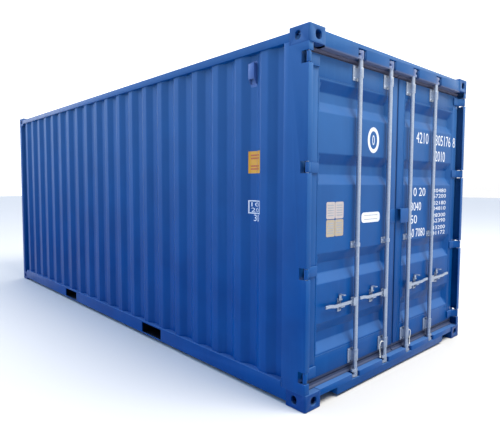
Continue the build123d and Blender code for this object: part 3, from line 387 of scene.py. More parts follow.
def painted_light_and_sealing(tree, place, paint):
    """Paint with tones over it: a painted sheen near the roof, a painted sky reflection on faces turned up,
    black sealing under the floor that also paints the shade in the fork pockets, and a grey band under the
    header.
    """
    spot = add_node(tree, "ShaderNodeSeparateXYZ", [place]).outputs
    normal = add_node(tree, "ShaderNodeNewGeometry").outputs["Normal"]
    facing_up = add_node(tree, "ShaderNodeSeparateXYZ", [normal]).outputs["Z"]
    along = worked_out(tree, ("ABSOLUTE", spot["X"]))
    across = worked_out(tree, ("ABSOLUTE", spot["Y"]))
    # Painted sky sheen: lighter towards the roof, but not on faces turned down
    sky_sheen = faded(tree, (spot["Z"], *SKY_SHEEN_RISE, 0.0, 0.25), (facing_up, -0.45, 0.0, 0.0, 1.0))
    # Painted sky reflection: lighter where it faces up, most of all low down
    sky_reflection = faded(tree, (facing_up, 0.1, 0.6, 0.0, 0.22), (spot["Z"], *SKY_REFLECTION_RISE, 1.0, 0.15))
    # What lies under the floor is sealed black; the black also paints the shade in the fork pockets
    underseal_and_shade = faded(
        tree, (along, *UNDERSEAL_AND_SHADE_LENGTH, 1.0, 0.0), (across, *UNDERSEAL_AND_SHADE_WIDTH, 1.0, 0.0),
        (spot["Z"], *UNDERSEAL_AND_SHADE_RISE, 1.0, 0.0))
    # A grey band is painted under the header, over the doors' seal
    grey_band = faded(
        tree, (spot["Z"], *GREY_BAND_TOP, 0.9, 0.0), (spot["Z"], *GREY_BAND_LOW, 0.0, 1.0),
        (spot["X"], *GREY_BAND_FRONT, 0.0, 1.0), (across, *GREY_BAND_WIDTH, 1.0, 0.0))
    return tinted(
        tree, paint, (sky_sheen, "#7099BC"), (sky_reflection, "#86AEDC"), (underseal_and_shade, "#14151A"), (grey_band, "#5A6079"))


def enamel_on_steel(name, colour, shade, grain, grain_depth):
    """Gloss alkyd enamel, sprayed: sheet that is never quite flat under it, with faint dusty runs."""
    material, tree, shader, place = new_material(name)
    patches = add_node(
        tree, "ShaderNodeTexNoise", {"Vector": place, "Scale": 1 / PAINT_PATCHES, "Detail": 3.0})
    stretched = add_node(tree, "ShaderNodeMapping", {"Vector": place, "Scale": (1.0, 1.0, 0.06)})
    runs = add_node(
        tree, "ShaderNodeTexNoise", {"Vector": stretched, "Scale": 1 / DUST_RUNS, "Detail": 4.0})
    peel = add_node(tree, "ShaderNodeTexNoise", {"Vector": place, "Scale": 1 / grain, "Detail": 2.0})
    tone = tinted(
        tree, linear(colour), (faded(tree, (patches, 0.35, 0.65, 0.0, 1.0)), shade),
        (faded(tree, (runs, 0.55, 0.8, 0.0, 0.08)), "#3A78BC"))
    waves = add_node(tree, "ShaderNodeBump", {"Height": patches, "Distance": 0.9 * MM})
    skin = add_node(tree, "ShaderNodeBump", {"Height": peel, "Distance": grain_depth, "Normal": waves})
    set_inputs(tree, shader, {
        "Base Color": painted_light_and_sealing(tree, place, tone), "Roughness": faded(tree, (runs, 0.4, 0.8, 0.30, 0.42)),
        "Normal": skin, "IOR": 1.5, "Specular IOR Level": 0.09})
    return material


def zinc_on_steel():
    """Hot dip galvanised steel: a dull silver skin of crystals that each lie a little differently."""
    material, tree, shader, place = new_material("hot_dip_galvanised_steel")
    crystals = add_node(tree, "ShaderNodeTexVoronoi", {"Vector": place, "Scale": 1 / ZINC_CRYSTALS})
    shine = add_node(tree, "ShaderNodeSeparateColor", [crystals.outputs["Color"]]).outputs
    height = add_node(tree, "ShaderNodeSeparateXYZ", [place]).outputs["Z"]
    # The zinc turns darker towards the ground
    low_darkening = faded(tree, (height, *ZINC_LOW_DARKENING_RISE, 0.6, 0.0))
    # The zinc turns dark blue at the cams by the header
    cam_tint = faded(tree, (height, *CAM_TINT_RISE, 0.0, 0.6))
    tone = tinted(
        tree, linear("#B3BCC9"), (shine["Red"], "#C6CDD7"), (low_darkening, "#64799A"), (cam_tint, "#4A66A8"))
    grit = add_node(tree, "ShaderNodeTexNoise", {"Vector": place, "Scale": 1 / ZINC_GRIT, "Detail": 3.0})
    skin = add_node(tree, "ShaderNodeBump", {"Height": grit, "Distance": 0.02 * MM})
    set_inputs(tree, shader, {
        "Base Color": tone, "Roughness": faded(tree, (shine["Green"], 0.0, 1.0, 0.34, 0.42)),
        "Normal": skin, "Metallic": 0.7})
    return material


def moulded_rubber():
    """EPDM rubber, extruded: matt, its black gone grey under a bloom, with painted shade that darkens it
    towards the bottom.
    """
    material, tree, shader, place = new_material("extruded_epdm_rubber")
    bloom = add_node(
        tree, "ShaderNodeTexNoise", {"Vector": place, "Scale": 1 / RUBBER_BLOOM, "Detail": 4.0})
    grain = add_node(tree, "ShaderNodeTexNoise", {"Vector": place, "Scale": 1 / RUBBER_GRAIN, "Detail": 3.0})
    height = add_node(tree, "ShaderNodeSeparateXYZ", [place]).outputs["Z"]
    # Painted shade: the rubber turns dark navy towards the bottom
    in_the_shade = faded(tree, (height, *RUBBER_SHADE_RISE, 1.0, 0.0))
    tone = tinted(tree, linear("#444660"), (bloom, "#5A5C74"), (in_the_shade, "#33405F"))
    set_inputs(tree, shader, {
        "Base Color": tone, "Roughness": faded(tree, (bloom, 0.3, 0.7, 0.55, 0.75)),
        "Normal": add_node(tree, "ShaderNodeBump", {"Height": grain, "Distance": 0.1 * MM})})
    return material


def keruing_plywood():
    """Keruing plywood in sheets laid along the floor: red brown grain under a thin oil."""
    material, tree, shader, place = new_material("oiled_keruing_plywood")
    stretched = add_node(tree, "ShaderNodeMapping", {"Vector": place, "Scale": (0.05, 1.0, 1.0)})
    grain = add_node(
        tree, "ShaderNodeTexNoise", {"Vector": stretched, "Scale": 1 / WOOD_GRAIN, "Detail": 6.0})
    sheets = add_node(
        tree, "ShaderNodeTexBrick",
        {"Vector": place, "Scale": 1.0, "Mortar Size": BOARD_GAP, "Brick Width": BOARD_SIZE[0],
         "Row Height": BOARD_SIZE[1]})
    wood = tinted(
        tree, linear("#6E4630"), (faded(tree, (grain, 0.3, 0.7, 0.0, 1.0)), "#9C6C48"),
        (sheets.outputs["Fac"], "#2A1D16"))
    set_inputs(tree, shader, {
        "Base Color": wood, "Roughness": faded(tree, (grain, 0.3, 0.7, 0.45, 0.62)),
        "Normal": add_node(tree, "ShaderNodeBump", {"Height": grain, "Distance": 0.2 * MM})})
    return material


def plain_finish(name, colour, shade, roughness, grain, depth, metallic=0.0):
    """A small piece's finish: two near colours in soft patches and a fine grain."""
    material, tree, shader, place = new_material(name)
    patches = add_node(
        tree, "ShaderNodeTexNoise", {"Vector": place, "Scale": 1 / (grain * 8), "Detail": 3.0})
    fine = add_node(tree, "ShaderNodeTexNoise", {"Vector": place, "Scale": 1 / grain, "Detail": 3.0})
    set_inputs(tree, shader, {
        "Base Color": tinted(tree, linear(colour), (patches, shade)),
        "Roughness": faded(tree, (patches, 0.3, 0.7, roughness, roughness + 0.1)),
        "Normal": add_node(tree, "ShaderNodeBump", {"Height": fine, "Distance": depth}),
        "Metallic": metallic})
    return material


# The paint's orange peel is finer than this; drawn at 12 mm it shows at the photograph's size
BLUE = enamel_on_steel("sprayed_gloss_enamel_on_steel", "#02488A", "#024181", 12 * MM, 0.03 * MM)
# Sand cast steel keeps a coarse skin under the paint
CAST = enamel_on_steel("gloss_enamel_on_cast_steel", "#023E80", "#023776", 7 * MM, 0.5 * MM)
ZINC = zinc_on_steel()
RUBBER = moulded_rubber()
PLYWOOD = keruing_plywood()
# Vent covers are moulded in ABS and painted over with the wall
VENT = plain_finish("painted_abs", "#42639E", "#3C5C96", 0.3, 4 * MM, 0.05 * MM)
# Cast vinyl film has an even, slightly waxy sheen
WHITE_FILM = plain_finish("white_vinyl_film", "#E4E6EA", "#D6D9DF", 0.35, 5 * MM, 0.02 * MM)
YELLOW_FILM = plain_finish("yellow_vinyl_film", "#E0A21E", "#D2951A", 0.4, 5 * MM, 0.02 * MM)
ORANGE_FILM = plain_finish("orange_vinyl_film", "#C4612A", "#B55725", 0.4, 5 * MM, 0.02 * MM)
GREY_FILM = plain_finish("grey_printing_ink", "#9BA0A8", "#8C9098", 0.5, 5 * MM, 0.02 * MM)
# Etched aluminium plates lacquered over a warm print
PALE_PLATE = plain_finish("lacquered_aluminium_pale", "#BFB5B4", "#B1A6A3", 0.4, 3 * MM, 0.03 * MM, 0.2)
TAN_PLATE = plain_finish("lacquered_aluminium_tan", "#B3A692", "#A59783", 0.4, 3 * MM, 0.03 * MM, 0.2)
# Polypropylene split film rope: chalky white with a faint sheen
ROPE = plain_finish("polypropylene_rope", "#E6E6E2", "#D2D2CC", 0.5, 2 * MM, 0.1 * MM)

SLOT_FINISHES = {
    "blue_paint": BLUE,
    "cast_paint": CAST,
    "galvanised_steel": ZINC,
    "gasket_rubber": RUBBER,
    "plywood": PLYWOOD,
    "vent_plastic": VENT,
    "white_rope": ROPE,
}
NODE_SLOTS = {part["node"]: part["material_slot"] for part in frame["record"]["subparts"]}
for node_name, node_object in frame["nodes"].items():
    node_object.data.materials.clear()
    node_object.data.materials.append(SLOT_FINISHES[NODE_SLOTS[node_name]])


# Making and placing pieces

def placed(obj, body, material, slot=None):
    """A finished piece on its body, with its finish. The record's slot is not used."""
    obj.data.materials.clear()
    obj.data.materials.append(material)
    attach(obj, body)
    return obj


def mesh_object(name, mesh):
    """An object at the origin that shows a mesh."""
    obj = bpy.data.objects.new(name, mesh)
    bpy.context.scene.collection.objects.link(obj)
    return obj


def points_object(name, points, edges=(), faces=()):
    """An object of plain points, edges and faces."""
    mesh = bpy.data.meshes.new(name)
    mesh.from_pydata(points, edges, faces)
    return mesh_object(name, mesh)


def built(name, points, faces):
    """An object from its points and faces, with its normals turned outwards."""
    obj = points_object(name, points, faces=faces)
    shape = bmesh.new()
    shape.from_mesh(obj.data)
    bmesh.ops.recalc_face_normals(shape, faces=shape.faces)
    shape.to_mesh(obj.data)
    shape.free()
    return obj


def smoothed(obj, angle):
    """Smooth shading, sharp at edges that turn more than an angle in degrees."""
    obj.data.shade_smooth()
    obj.data.set_sharp_from_angle(angle=math.radians(angle))


def applied(obj):
    """The object's modifiers made into its own plain mesh."""
    depsgraph = bpy.context.evaluated_depsgraph_get()
    mesh = bpy.data.meshes.new_from_object(obj.evaluated_get(depsgraph))
    obj.modifiers.clear()
    obj.data = mesh


def curve_mesh(curve):
    """A curve's or a text's shape as a plain mesh."""
    carrier = bpy.data.objects.new("carrier", curve)
    bpy.context.scene.collection.objects.link(carrier)
    depsgraph = bpy.context.evaluated_depsgraph_get()
    mesh = bpy.data.meshes.new_from_object(carrier.evaluated_get(depsgraph))
    bpy.data.objects.remove(carrier)
    return mesh


def ring_faces(count):
    """Faces of a closed slab between two outlines of as many points, one after the other."""
    faces = [tuple(range(count)), tuple(range(count, 2 * count))]
    return faces + [(i, (i + 1) % count, count + (i + 1) % count, count + i) for i in range(count)]


def casting_corners(shape):
    """The castings' outer edges: those that lie on two outer planes, bar the ones against a post."""
    chosen = []
    for edge in shape.edges:
        planes = []
        for axis, levels in enumerate(CASTING_PLANES):
            for level in levels:
                if all(abs(abs(vertex.co[axis]) - level) < 0.1 * MM for vertex in edge.verts):
                    planes.append(axis)
        if len(planes) == 2:
            chosen.append(edge)
    return chosen


def eased(node, width, segments=2, corner=0.0):
    """A copy of a CAD node with its sharp edges rounded, standing for the node."""
    body = frame["nodes"][node]["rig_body"]
    mesh = frame["nodes"][node].data.copy()
    shape = bmesh.new()
    shape.from_mesh(mesh)
    bmesh.ops.remove_doubles(shape, verts=shape.verts, dist=0.01 * MM)
    bmesh.ops.dissolve_limit(
        shape, angle_limit=math.radians(0.5), verts=shape.verts, edges=shape.edges, delimit={"NORMAL"})
    rounding = {"profile": 0.5, "affect": "EDGES", "clamp_overlap": True}
    if corner:
        bmesh.ops.bevel(shape, geom=casting_corners(shape), offset=corner, segments=4, **rounding)
    sharp = [edge for edge in shape.edges if edge.calc_face_angle(0) > math.radians(SHARP_EDGE)]
    bmesh.ops.bevel(shape, geom=sharp, offset=width, segments=segments, **rounding)
    shape.to_mesh(mesh)
    shape.free()
    obj = mesh_object(node + "_eased", mesh)
    smoothed(obj, EASED_SMOOTH)
    placed(obj, body, SLOT_FINISHES[NODE_SLOTS[node]], NODE_SLOTS[node])
    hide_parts(node)


# Geometry Nodes trees

def new_tree(name, size_names):
    """A geometry tree whose inputs are a mesh, its finish and some named sizes."""
    tree = bpy.data.node_groups.new(name, "GeometryNodeTree")
    tree.interface.new_socket("Geometry", in_out="INPUT", socket_type="NodeSocketGeometry")
    tree.interface.new_socket("Finish", in_out="INPUT", socket_type="NodeSocketMaterial")
    for size_name in size_names:
        tree.interface.new_socket(size_name, in_out="INPUT", socket_type="NodeSocketFloat")
    tree.interface.new_socket("Geometry", in_out="OUTPUT", socket_type="NodeSocketGeometry")
    return tree, add_node(tree, "NodeGroupInput").outputs


def close_tree(tree, geometry, sizes):
    """The end of a tree: real geometry with its finish."""
    real = add_node(tree, "GeometryNodeRealizeInstances", {"Geometry": geometry})
    finished = add_node(tree, "GeometryNodeSetMaterial", {"Geometry": real, "Material": sizes["Finish"]})
    add_node(tree, "NodeGroupOutput", {"Geometry": finished})


def close_moved(tree, sizes, x, y, z):
    """The end of a tree that moves its mesh's points to new places."""
    place = add_node(tree, "ShaderNodeCombineXYZ", (x, y, z))
    moved = add_node(tree, "GeometryNodeSetPosition", {"Geometry": sizes["Geometry"], "Position": place})
    close_tree(tree, moved, sizes)


def grown(obj, tree, values):
    """The object's mesh grown by a tree with its sizes set, as plain mesh."""
    modifier = obj.modifiers.new(tree.name, "NODES")
    modifier.node_group = tree
    for item in tree.interface.items_tree:
        if item.in_out == "INPUT" and item.name in values:
            modifier[item.identifier] = values[item.name]
    applied(obj)


def nearest_fold(along, sizes):
    """The formula of the middle of the rib or tray nearest to a place."""
    steps = ("ROUND", ("DIVIDE", ("SUBTRACT", along, sizes["First"]), sizes["Pitch"]))
    middle = ("MULTIPLY_ADD", steps, sizes["Pitch"], sizes["First"])
    return ("MAXIMUM", ("MINIMUM", middle, sizes["Last"]), sizes["First"])


def corrugated_sheet_tree():
    """A flat grid folded into ribs: each rib stands out of the sheet by its depth, with soft bends."""
    tree, sizes = new_tree("corrugated_sheet", ("Pitch", "First", "Last", "Flat", "Slope", "Depth", "Bend"))
    position = add_node(tree, "GeometryNodeInputPosition")
    place = add_node(tree, "ShaderNodeSeparateXYZ", [position]).outputs
    away = ("ABSOLUTE", ("SUBTRACT", place["X"], nearest_fold(place["X"], sizes)))
    past_flat = ("SUBTRACT", away, ("MULTIPLY", sizes["Flat"], 0.5))
    fall = ("MULTIPLY", ("DIVIDE", past_flat, sizes["Slope"]), sizes["Depth"])
    fall = ("SMOOTH_MAX", fall, 0.0, sizes["Bend"])
    fall = ("SMOOTH_MIN", fall, sizes["Depth"], sizes["Bend"])
    close_moved(tree, sizes, place["X"], worked_out(tree, fall), place["Y"])
    return tree


def pressed_sheet_tree():
    """A flat grid pressed into tapered trays across it, at even steps either way from X = 0."""
    tree, sizes = new_tree("pressed_sheet", (
        "Pitch", "First", "Last", "Flat", "Slope", "Length", "End slope", "Depth", "Bend"))

    def inside(away, width, slope):
        """How deep a side of the tray lets the sheet go at a distance from its middle line."""
        room = ("SUBTRACT", ("MULTIPLY", width, 0.5), away)
        return ("MULTIPLY", ("DIVIDE", room, slope), sizes["Depth"])

    position = add_node(tree, "GeometryNodeInputPosition")
    place = add_node(tree, "ShaderNodeSeparateXYZ", [position]).outputs
    away = worked_out(tree, ("ABSOLUTE", place["X"]))
    along = ("ABSOLUTE", ("SUBTRACT", away, nearest_fold(away, sizes)))
    mouth = ("MULTIPLY_ADD", sizes["Slope"], 2.0, sizes["Flat"])
    sides = inside(along, mouth, sizes["Slope"])
    ends = inside(("ABSOLUTE", place["Y"]), sizes["Length"], sizes["End slope"])
    fall = ("SMOOTH_MIN", sides, ends, sizes["Bend"])
    fall = ("SMOOTH_MIN", fall, sizes["Depth"], sizes["Bend"])
    fall = ("SMOOTH_MAX", fall, 0.0, sizes["Bend"])
    close_moved(tree, sizes, place["X"], place["Y"], worked_out(tree, fall))
    return tree


def fastener_tree():
    """Round heads on points: a flattened ball on each, with its length along the point's own axis."""
    tree, sizes = new_tree("round_heads", ("Radius", "Height"))
    ball = add_node(tree, "GeometryNodeMeshUVSphere", {"Segments": 12, "Rings": 6, "Radius": 1.0})
    scale = add_node(tree, "ShaderNodeCombineXYZ", (sizes["Radius"], sizes["Radius"], sizes["Height"]))
    head = add_node(tree, "GeometryNodeTransform", {"Geometry": ball, "Scale": scale})
    smooth = add_node(tree, "GeometryNodeSetShadeSmooth", {"Geometry": head})
    way = add_node(tree, "GeometryNodeInputNamedAttribute", {"Name": "way"}, data_type="FLOAT_VECTOR")
    turn = add_node(tree, "FunctionNodeAlignRotationToVector", {"Vector": way}, axis="Z")
    copies = add_node(tree, "GeometryNodeInstanceOnPoints", {
        "Points": sizes["Geometry"], "Instance": smooth, "Rotation": turn})
    close_tree(tree, copies, sizes)
    return tree


def bead_tree():
    """A weld bead along edges: a round bead that swells at each ripple of the weld."""
    tree, sizes = new_tree("weld_bead", ("Radius", "Ripple"))
    path = add_node(tree, "GeometryNodeMeshToCurve", {"Mesh": sizes["Geometry"]})
    steps = add_node(
        tree, "GeometryNodeResampleCurve", {"Curve": path, "Length": sizes["Ripple"]}, mode="LENGTH")
    swell = add_node(
        tree, "FunctionNodeRandomValue", {"Min": 0.75, "Max": 1.15, "Seed": 4}, data_type="FLOAT")
    radius = worked_out(tree, ("MULTIPLY", swell, sizes["Radius"]))
    sized = add_node(tree, "GeometryNodeSetCurveRadius", {"Curve": steps, "Radius": radius})
    ring = add_node(tree, "GeometryNodeCurvePrimitiveCircle", (6, 1.0), mode="RADIUS")
    kept = add_node(tree, "GeometryNodeInputRadius")
    bead = add_node(
        tree, "GeometryNodeCurveToMesh",
        {"Curve": sized, "Profile Curve": ring, "Scale": kept, "Fill Caps": True})
    close_tree(tree, bead, sizes)
    return tree


CORRUGATED_SHEET = corrugated_sheet_tree()
PRESSED_SHEET = pressed_sheet_tree()
ROUND_HEADS = fastener_tree()
WELD_BEAD = bead_tree()


# Folded and pressed sheets

# Where a slope's bends need lines, as shares of the slope
BEND_SHARES = (-0.26, -0.2, -0.12, -0.06, 0.0, 0.06, 0.12, 0.2, 0.26,
               0.74, 0.8, 0.88, 0.94, 1.0, 1.06, 1.12, 1.2, 1.26)


def steps_between(folds):
    """The middles of all folds, at even steps from the first to the last."""
    count = round((folds["Last"] - folds["First"]) / folds["Pitch"]) + 1
    return [folds["First"] + step * folds["Pitch"] for step in range(count)]


def fold_lines(ends, middles, flat, slope):
    """Places for grid lines: the sheet's two ends, and lines through each bend beside each middle."""
    lines = set(ends)
    for middle in middles:
        for share in BEND_SHARES:
            for side in (-1, 1):
                line = middle + side * (flat / 2 + slope * share)
                if ends[0] < line < ends[1]:
                    lines.add(line)
    return sorted(lines)


def flat_grid(name, columns, rows):
    """A flat grid of quads that face down, with a vertex at each column and row."""
    points = [(x, y, 0) for y in rows for x in columns]
    width = len(columns)
    faces = [(j * width + i, (j + 1) * width + i, (j + 1) * width + i + 1, j * width + i + 1)
             for j in range(len(rows) - 1) for i in range(width - 1)]
    return points_object(name, points, faces=faces)


def formed_sheet(grid, tree, sizes, place, angle, body, node):
    """A flat grid formed by a tree into a sheet of real thickness, which stands for its CAD node."""
    grown(grid, tree, {**sizes, "Finish": BLUE})
    sheet = grid.modifiers.new("sheet", "SOLIDIFY")
    sheet.thickness = SHEET
    sheet.offset = -1.0
    applied(grid)
    grid.data.transform(place)
    smoothed(grid, angle)
    placed(grid, body, BLUE, "blue_paint")
    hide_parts(node)


def corrugated_wall(name, ends, folds, turn, place, node):
    """A wall folded into upright ribs."""
    columns = fold_lines(ends, steps_between(folds), folds["Flat"], folds["Slope"])
    # The grid runs down the wall, so that it faces outwards once it stands
    grid = flat_grid(name, columns, (WALL_HIGH, WALL_LOW))
    formed_sheet(
        grid, CORRUGATED_SHEET, folds, Matrix.Translation(place) @ Matrix.Rotation(turn, 4, "Z"),
        WALL_SMOOTH, "container", node)


def pressed_panel(name, ends, half_width, trays, place, body, node):
    """A sheet with trays pressed into it on both sides of its middle."""
    middles = [sign * middle for sign in (-1, 1) for middle in steps_between(trays)]
    columns = fold_lines(ends, middles, trays["Flat"], trays["Slope"])
    tray_floor = trays["Length"] - 2 * trays["End slope"]
    rows = fold_lines((-half_width, half_width), [0.0], tray_floor, trays["End slope"])
    grid = flat_grid(name, columns, rows)
    formed_sheet(grid, PRESSED_SHEET, trays, place, PANEL_SMOOTH, body, node)


corrugated_wall("left_corrugated_wall", (WALL_FRONT, WALL_REAR), SIDE_FOLDS, 0.0, (0, -SIDE_PLANE, 0),
                "left_side_wall")
corrugated_wall("right_corrugated_wall", (-WALL_REAR, -WALL_FRONT),
                {**SIDE_FOLDS, "First": -SIDE_FOLDS["Last"], "Last": -SIDE_FOLDS["First"]},
                math.pi, (0, SIDE_PLANE, 0), "right_side_wall")
corrugated_wall("front_corrugated_wall", (-FRONT_HALF, FRONT_HALF), FRONT_FOLDS, -math.pi / 2,
                (FRONT_PLANE, 0, 0), "front_wall")

# The door panel's grid runs up the leaf: its X is height and its depth goes into the leaf
UP_THE_LEAF = Matrix(((0, 0, -1, 0), (0, 1, 0, 0), (1, 0, 0, 0), (0, 0, 0, 1)))
# The roof's grid lies face down, so it is turned over
FACE_UP = Matrix.Rotation(math.pi, 4, "X")

panel_half_width = (PANEL_EDGES[1] - PANEL_EDGES[0]) / 2
for side, body in DOORS:
    panel_middle = (LEAF_FACE, side * (PANEL_EDGES[0] + panel_half_width), LEAF_MIDDLE)
    pressed_panel(
        body + "_pressed_panel", (-PANEL_HALF, PANEL_HALF), panel_half_width, DOOR_TRAYS,
        Matrix.Translation(panel_middle) @ UP_THE_LEAF, body, body + "_panel")
pressed_panel(
    "pressed_roof", [end - ROOF_MIDDLE for end in ROOF_ENDS], ROOF_HALF, ROOF_TRAYS,
    Matrix.Translation((ROOF_MIDDLE, 0, ROOF_TOP)) @ FACE_UP, "container", "roof_panel")

# Steel pieces with their edges eased, by widths in millimetres
for node_name, edge_width in {
    "left_rear_post": 2.0, "right_rear_post": 2.0, "front_posts": 2.0,
    "top_side_rails": 1.4, "bottom_side_rails": 2.0,
    "front_top_rail": 1.8, "front_bottom_rail": 1.8,
    "door_header": 1.8, "door_sill": 2.0,
    "left_door_stiles": 1.8, "right_door_stiles": 1.8,
    "left_door_rails": 1.5, "right_door_rails": 1.5,
    "left_door_hinges": 2.5, "right_door_hinges": 2.5,
    "left_bar_brackets": 1.5, "right_bar_brackets": 1.5,
    "left_handle_retainers": 1.2, "right_handle_retainers": 1.2,
    "left_lock_plate": 1.5, "right_lock_box": 1.5,
    "cam_keepers": 1.2, "side_vents": 2.5, "roof_corner_plates": 1.2,
}.items():
    eased(node_name, edge_width * MM)
for node_name in ("bottom_corner_castings", "top_corner_castings"):
    eased(node_name, CASTING_EDGE, corner=CASTING_CORNER)
for bar_number in range(1, 5):
    eased(f"lock_bar_{bar_number}", BAR_EDGE)
    eased(f"handle_{bar_number}", HANDLE_EDGE, segments=3)
    eased(f"catch_{bar_number}", CATCH_EDGE)


# Fasteners and vents

def rounded_outline(width, height, corner, steps=6):
    """Points round a rectangle with round corners, centred on the origin."""
    points = []
    for index, (side, top) in enumerate(((1, 1), (-1, 1), (-1, -1), (1, -1))):
        centre = (side * (width / 2 - corner), top * (height / 2 - corner))
        for step in range(steps + 1):
            angle = math.pi / 2 * (index + step / steps)
            points.append((centre[0] + corner * math.cos(angle), centre[1] + corner * math.sin(angle)))
    return points


def heads(name, body, spots, way, size, material=ZINC, slot="galvanised_steel"):
    """Round heads at some spots, all facing the same way, by their radius and height."""
    obj = points_object(name, spots)
    facing = obj.data.attributes.new("way", "FLOAT_VECTOR", "POINT")
    facing.data.foreach_set("vector", list(way) * len(spots))
    grown(obj, ROUND_HEADS, {"Radius": size[0], "Height": size[1], "Finish": material})
    placed(obj, body, material, slot)


def corner_spots(x, middle, reach):
    """Four spots round a middle across and up, on a plane that faces along X."""
    return [(x, middle[0] + across * reach[0], middle[1] + up * reach[1])
            for across in (-1, 1) for up in (-1, 1)]


for side, body in DOORS:
    side_name = body.split("_")[0]
    spots = []
    for bar in BAR_PLACES:
        for height in BRACKET_HEIGHTS:
            spots += corner_spots(BRACKET_FRONT, (side * bar, height), BRACKET_RIVET_REACH)
        spots += [(BRACKET_FRONT, side * bar + end * GUIDE_RIVET_REACH, GUIDE_HEIGHT) for end in (-1, 1)]
    heads(side_name + "_bracket_rivets", body, spots, OUT_OF_DOOR, BRACKET_RIVET)
    spots = [(RETAINER_FRONT, side * (bar + RETAINER_REACH) + end * RETAINER_RIVET_REACH,
              RETAINER_LOW + RETAINER_RIVET_REACH) for bar in BAR_PLACES for end in (-1, 1)]
    heads(side_name + "_retainer_rivets", body, spots, OUT_OF_DOOR, RETAINER_RIVET)
    spots = [(HINGE_X, side * HINGE_Y, height + end * HINGE_REACH)
             for height in HINGE_HEIGHTS for end in (-1, 1)]
    heads(side_name + "_hinge_pin_ends", "container", spots, UPWARDS, HINGE_PIN_END)
    rivet_heights = (VENT_SPAN[1] + VENT_RIVET_PAST, VENT_SPAN[0] - VENT_RIVET_PAST)
    spots = [(VENT_X + step * VENT_RIVET_REACH, side * (RECESS_PLANE + VENT_FLANGE), height)
             for step in (-1, 0, 1) for height in rivet_heights]
    heads(side_name + "_vent_rivets", "container", spots, (0, side, 0), VENT_RIVET, VENT, "vent_plastic")

# Countersunk screws hold the boards down on each bearer
screws = [(BEARER_START + bearer * BEARER_PITCH, row * FLOOR_SCREW_PITCH, FLOOR_TOP)
          for bearer in range(BEARER_COUNT) for row in FLOOR_SCREW_ROWS]
heads("floor_screws", "container", screws, UPWARDS, FLOOR_SCREW)


def vent_flange(name, side):
    """The flat rim of a vent's hood, round the hole that it covers."""
    middle = (VENT_SPAN[0] + VENT_SPAN[1]) / 2
    height = VENT_SPAN[1] - VENT_SPAN[0] + 2 * VENT_RIM_PAST
    outline = rounded_outline(VENT_RIM_WIDTH, height, VENT_RIM_CORNER)
    points = [(VENT_X + across, side * (RECESS_PLANE + depth), middle + up)
              for depth in (VENT_RIM_GAP, VENT_FLANGE) for across, up in outline]
    placed(built(name, points, ring_faces(len(outline))), "container", VENT, "vent_plastic")


vent_flange("left_vent_flange", -1)
vent_flange("right_vent_flange", 1)


# Gasket fins

def gasket_fin(name, body, side, height, facing):
    """One soft fin along the leaf's upper or lower edge, swept across the leaf."""
    points = [(FIN_START + x * MM, side * across, height + facing * z * MM)
              for across in GASKET_SPAN for x, z in FIN_SECTION]
    fin = built(name, points, ring_faces(len(FIN_SECTION)))
    smoothed(fin, FIN_SMOOTH)
    placed(fin, body, RUBBER, "gasket_rubber")


for side, body in DOORS:
    gasket_fin(body + "_upper_fin", body, side, FIN_TOP, 1)
    gasket_fin(body + "_lower_fin", body, side, FIN_LOW, -1)


# Marks and plates

def slab_on_door(name, outline, centre, base, thickness, material):
    """A flat plate on the left leaf: its outline across and up, its base and its thickness."""
    points = [(x, centre[0] + y, centre[1] + z) for x in (base, base + thickness) for y, z in outline]
    placed(built(name, points, ring_faces(len(outline))), "left_door", material)


def figures_mesh(name, figures):
    """Plain figures as a thin mesh: how far out, across and up, by their row of sizes in millimetres."""
    text, *sizes = figures
    across, up, width, height = (size * MM for size in sizes)
    curve = bpy.data.curves.new(name, "FONT")
    curve.body = text
    curve.resolution_u = 3
    curve.extrude = 0.5
    mesh = curve_mesh(curve)
    corners = [[vertex.co[axis] for vertex in mesh.vertices] for axis in range(2)]
    left, bottom = min(corners[0]), min(corners[1])
    wider = width / (max(corners[0]) - left)
    higher = height / (max(corners[1]) - bottom)
    for vertex in mesh.vertices:
        out = FIGURE_MIDDLE + FIGURE_THICKNESS * vertex.co.z
        vertex.co = (out, across + (vertex.co.x - left) * wider, up + (vertex.co.y - bottom) * higher)
    return mesh


def figures_on_door(name, body, figures):
    """Plain white figures on a leaf."""
    mesh = figures_mesh(name, figures)
    mesh.transform(Matrix.Translation((LEAF_FACE, 0, 0)))
    placed(mesh_object(name, mesh), body, WHITE_FILM)


for row_number, figures in enumerate(FIGURE_ROWS, start=1):
    figures_on_door(f"figure_row_{row_number}", "right_door", figures)
for pair_number, (pair, top) in enumerate(zip(FIGURE_PAIRS, PAIR_TOPS), start=1):
    for line_number, figures in enumerate(pair, start=1):
        figures_on_door(f"figure_pair_{pair_number}_{line_number}", "right_door",
                        (figures, PAIR_ACROSS, top - PAIR_LINE_DROP * line_number, *PAIR_SIZE))


def emblem_ring():
    """A plain white oval ring with a plain number in it, on the left leaf."""
    turns = [2 * math.pi * step / RING_STEPS for step in range(RING_STEPS)]
    rings = [[(half_width * math.cos(turn), half_height * math.sin(turn)) for turn in turns]
             for half_width, half_height in (RING_OUTER, RING_INNER)]
    points = [(LEAF_FACE + rise, RING_MIDDLE[0] + y, RING_MIDDLE[1] + z)
              for rise in (MARK_GAP, MARK_GAP + FILM_THICKNESS) for ring in rings for y, z in ring]
    low_out, low_in, high_out, high_in = (ring * RING_STEPS for ring in range(4))
    faces = []
    for i in range(RING_STEPS):
        j = (i + 1) % RING_STEPS
        for one, other in ((high_out, high_in), (low_out, low_in), (low_out, high_out), (low_in, high_in)):
            faces.append((one + i, one + j, other + j, other + i))
    placed(built("oval_ring", points, faces), "left_door", WHITE_FILM)
    figures_on_door("ring_number", "left_door", RING_FIGURE)


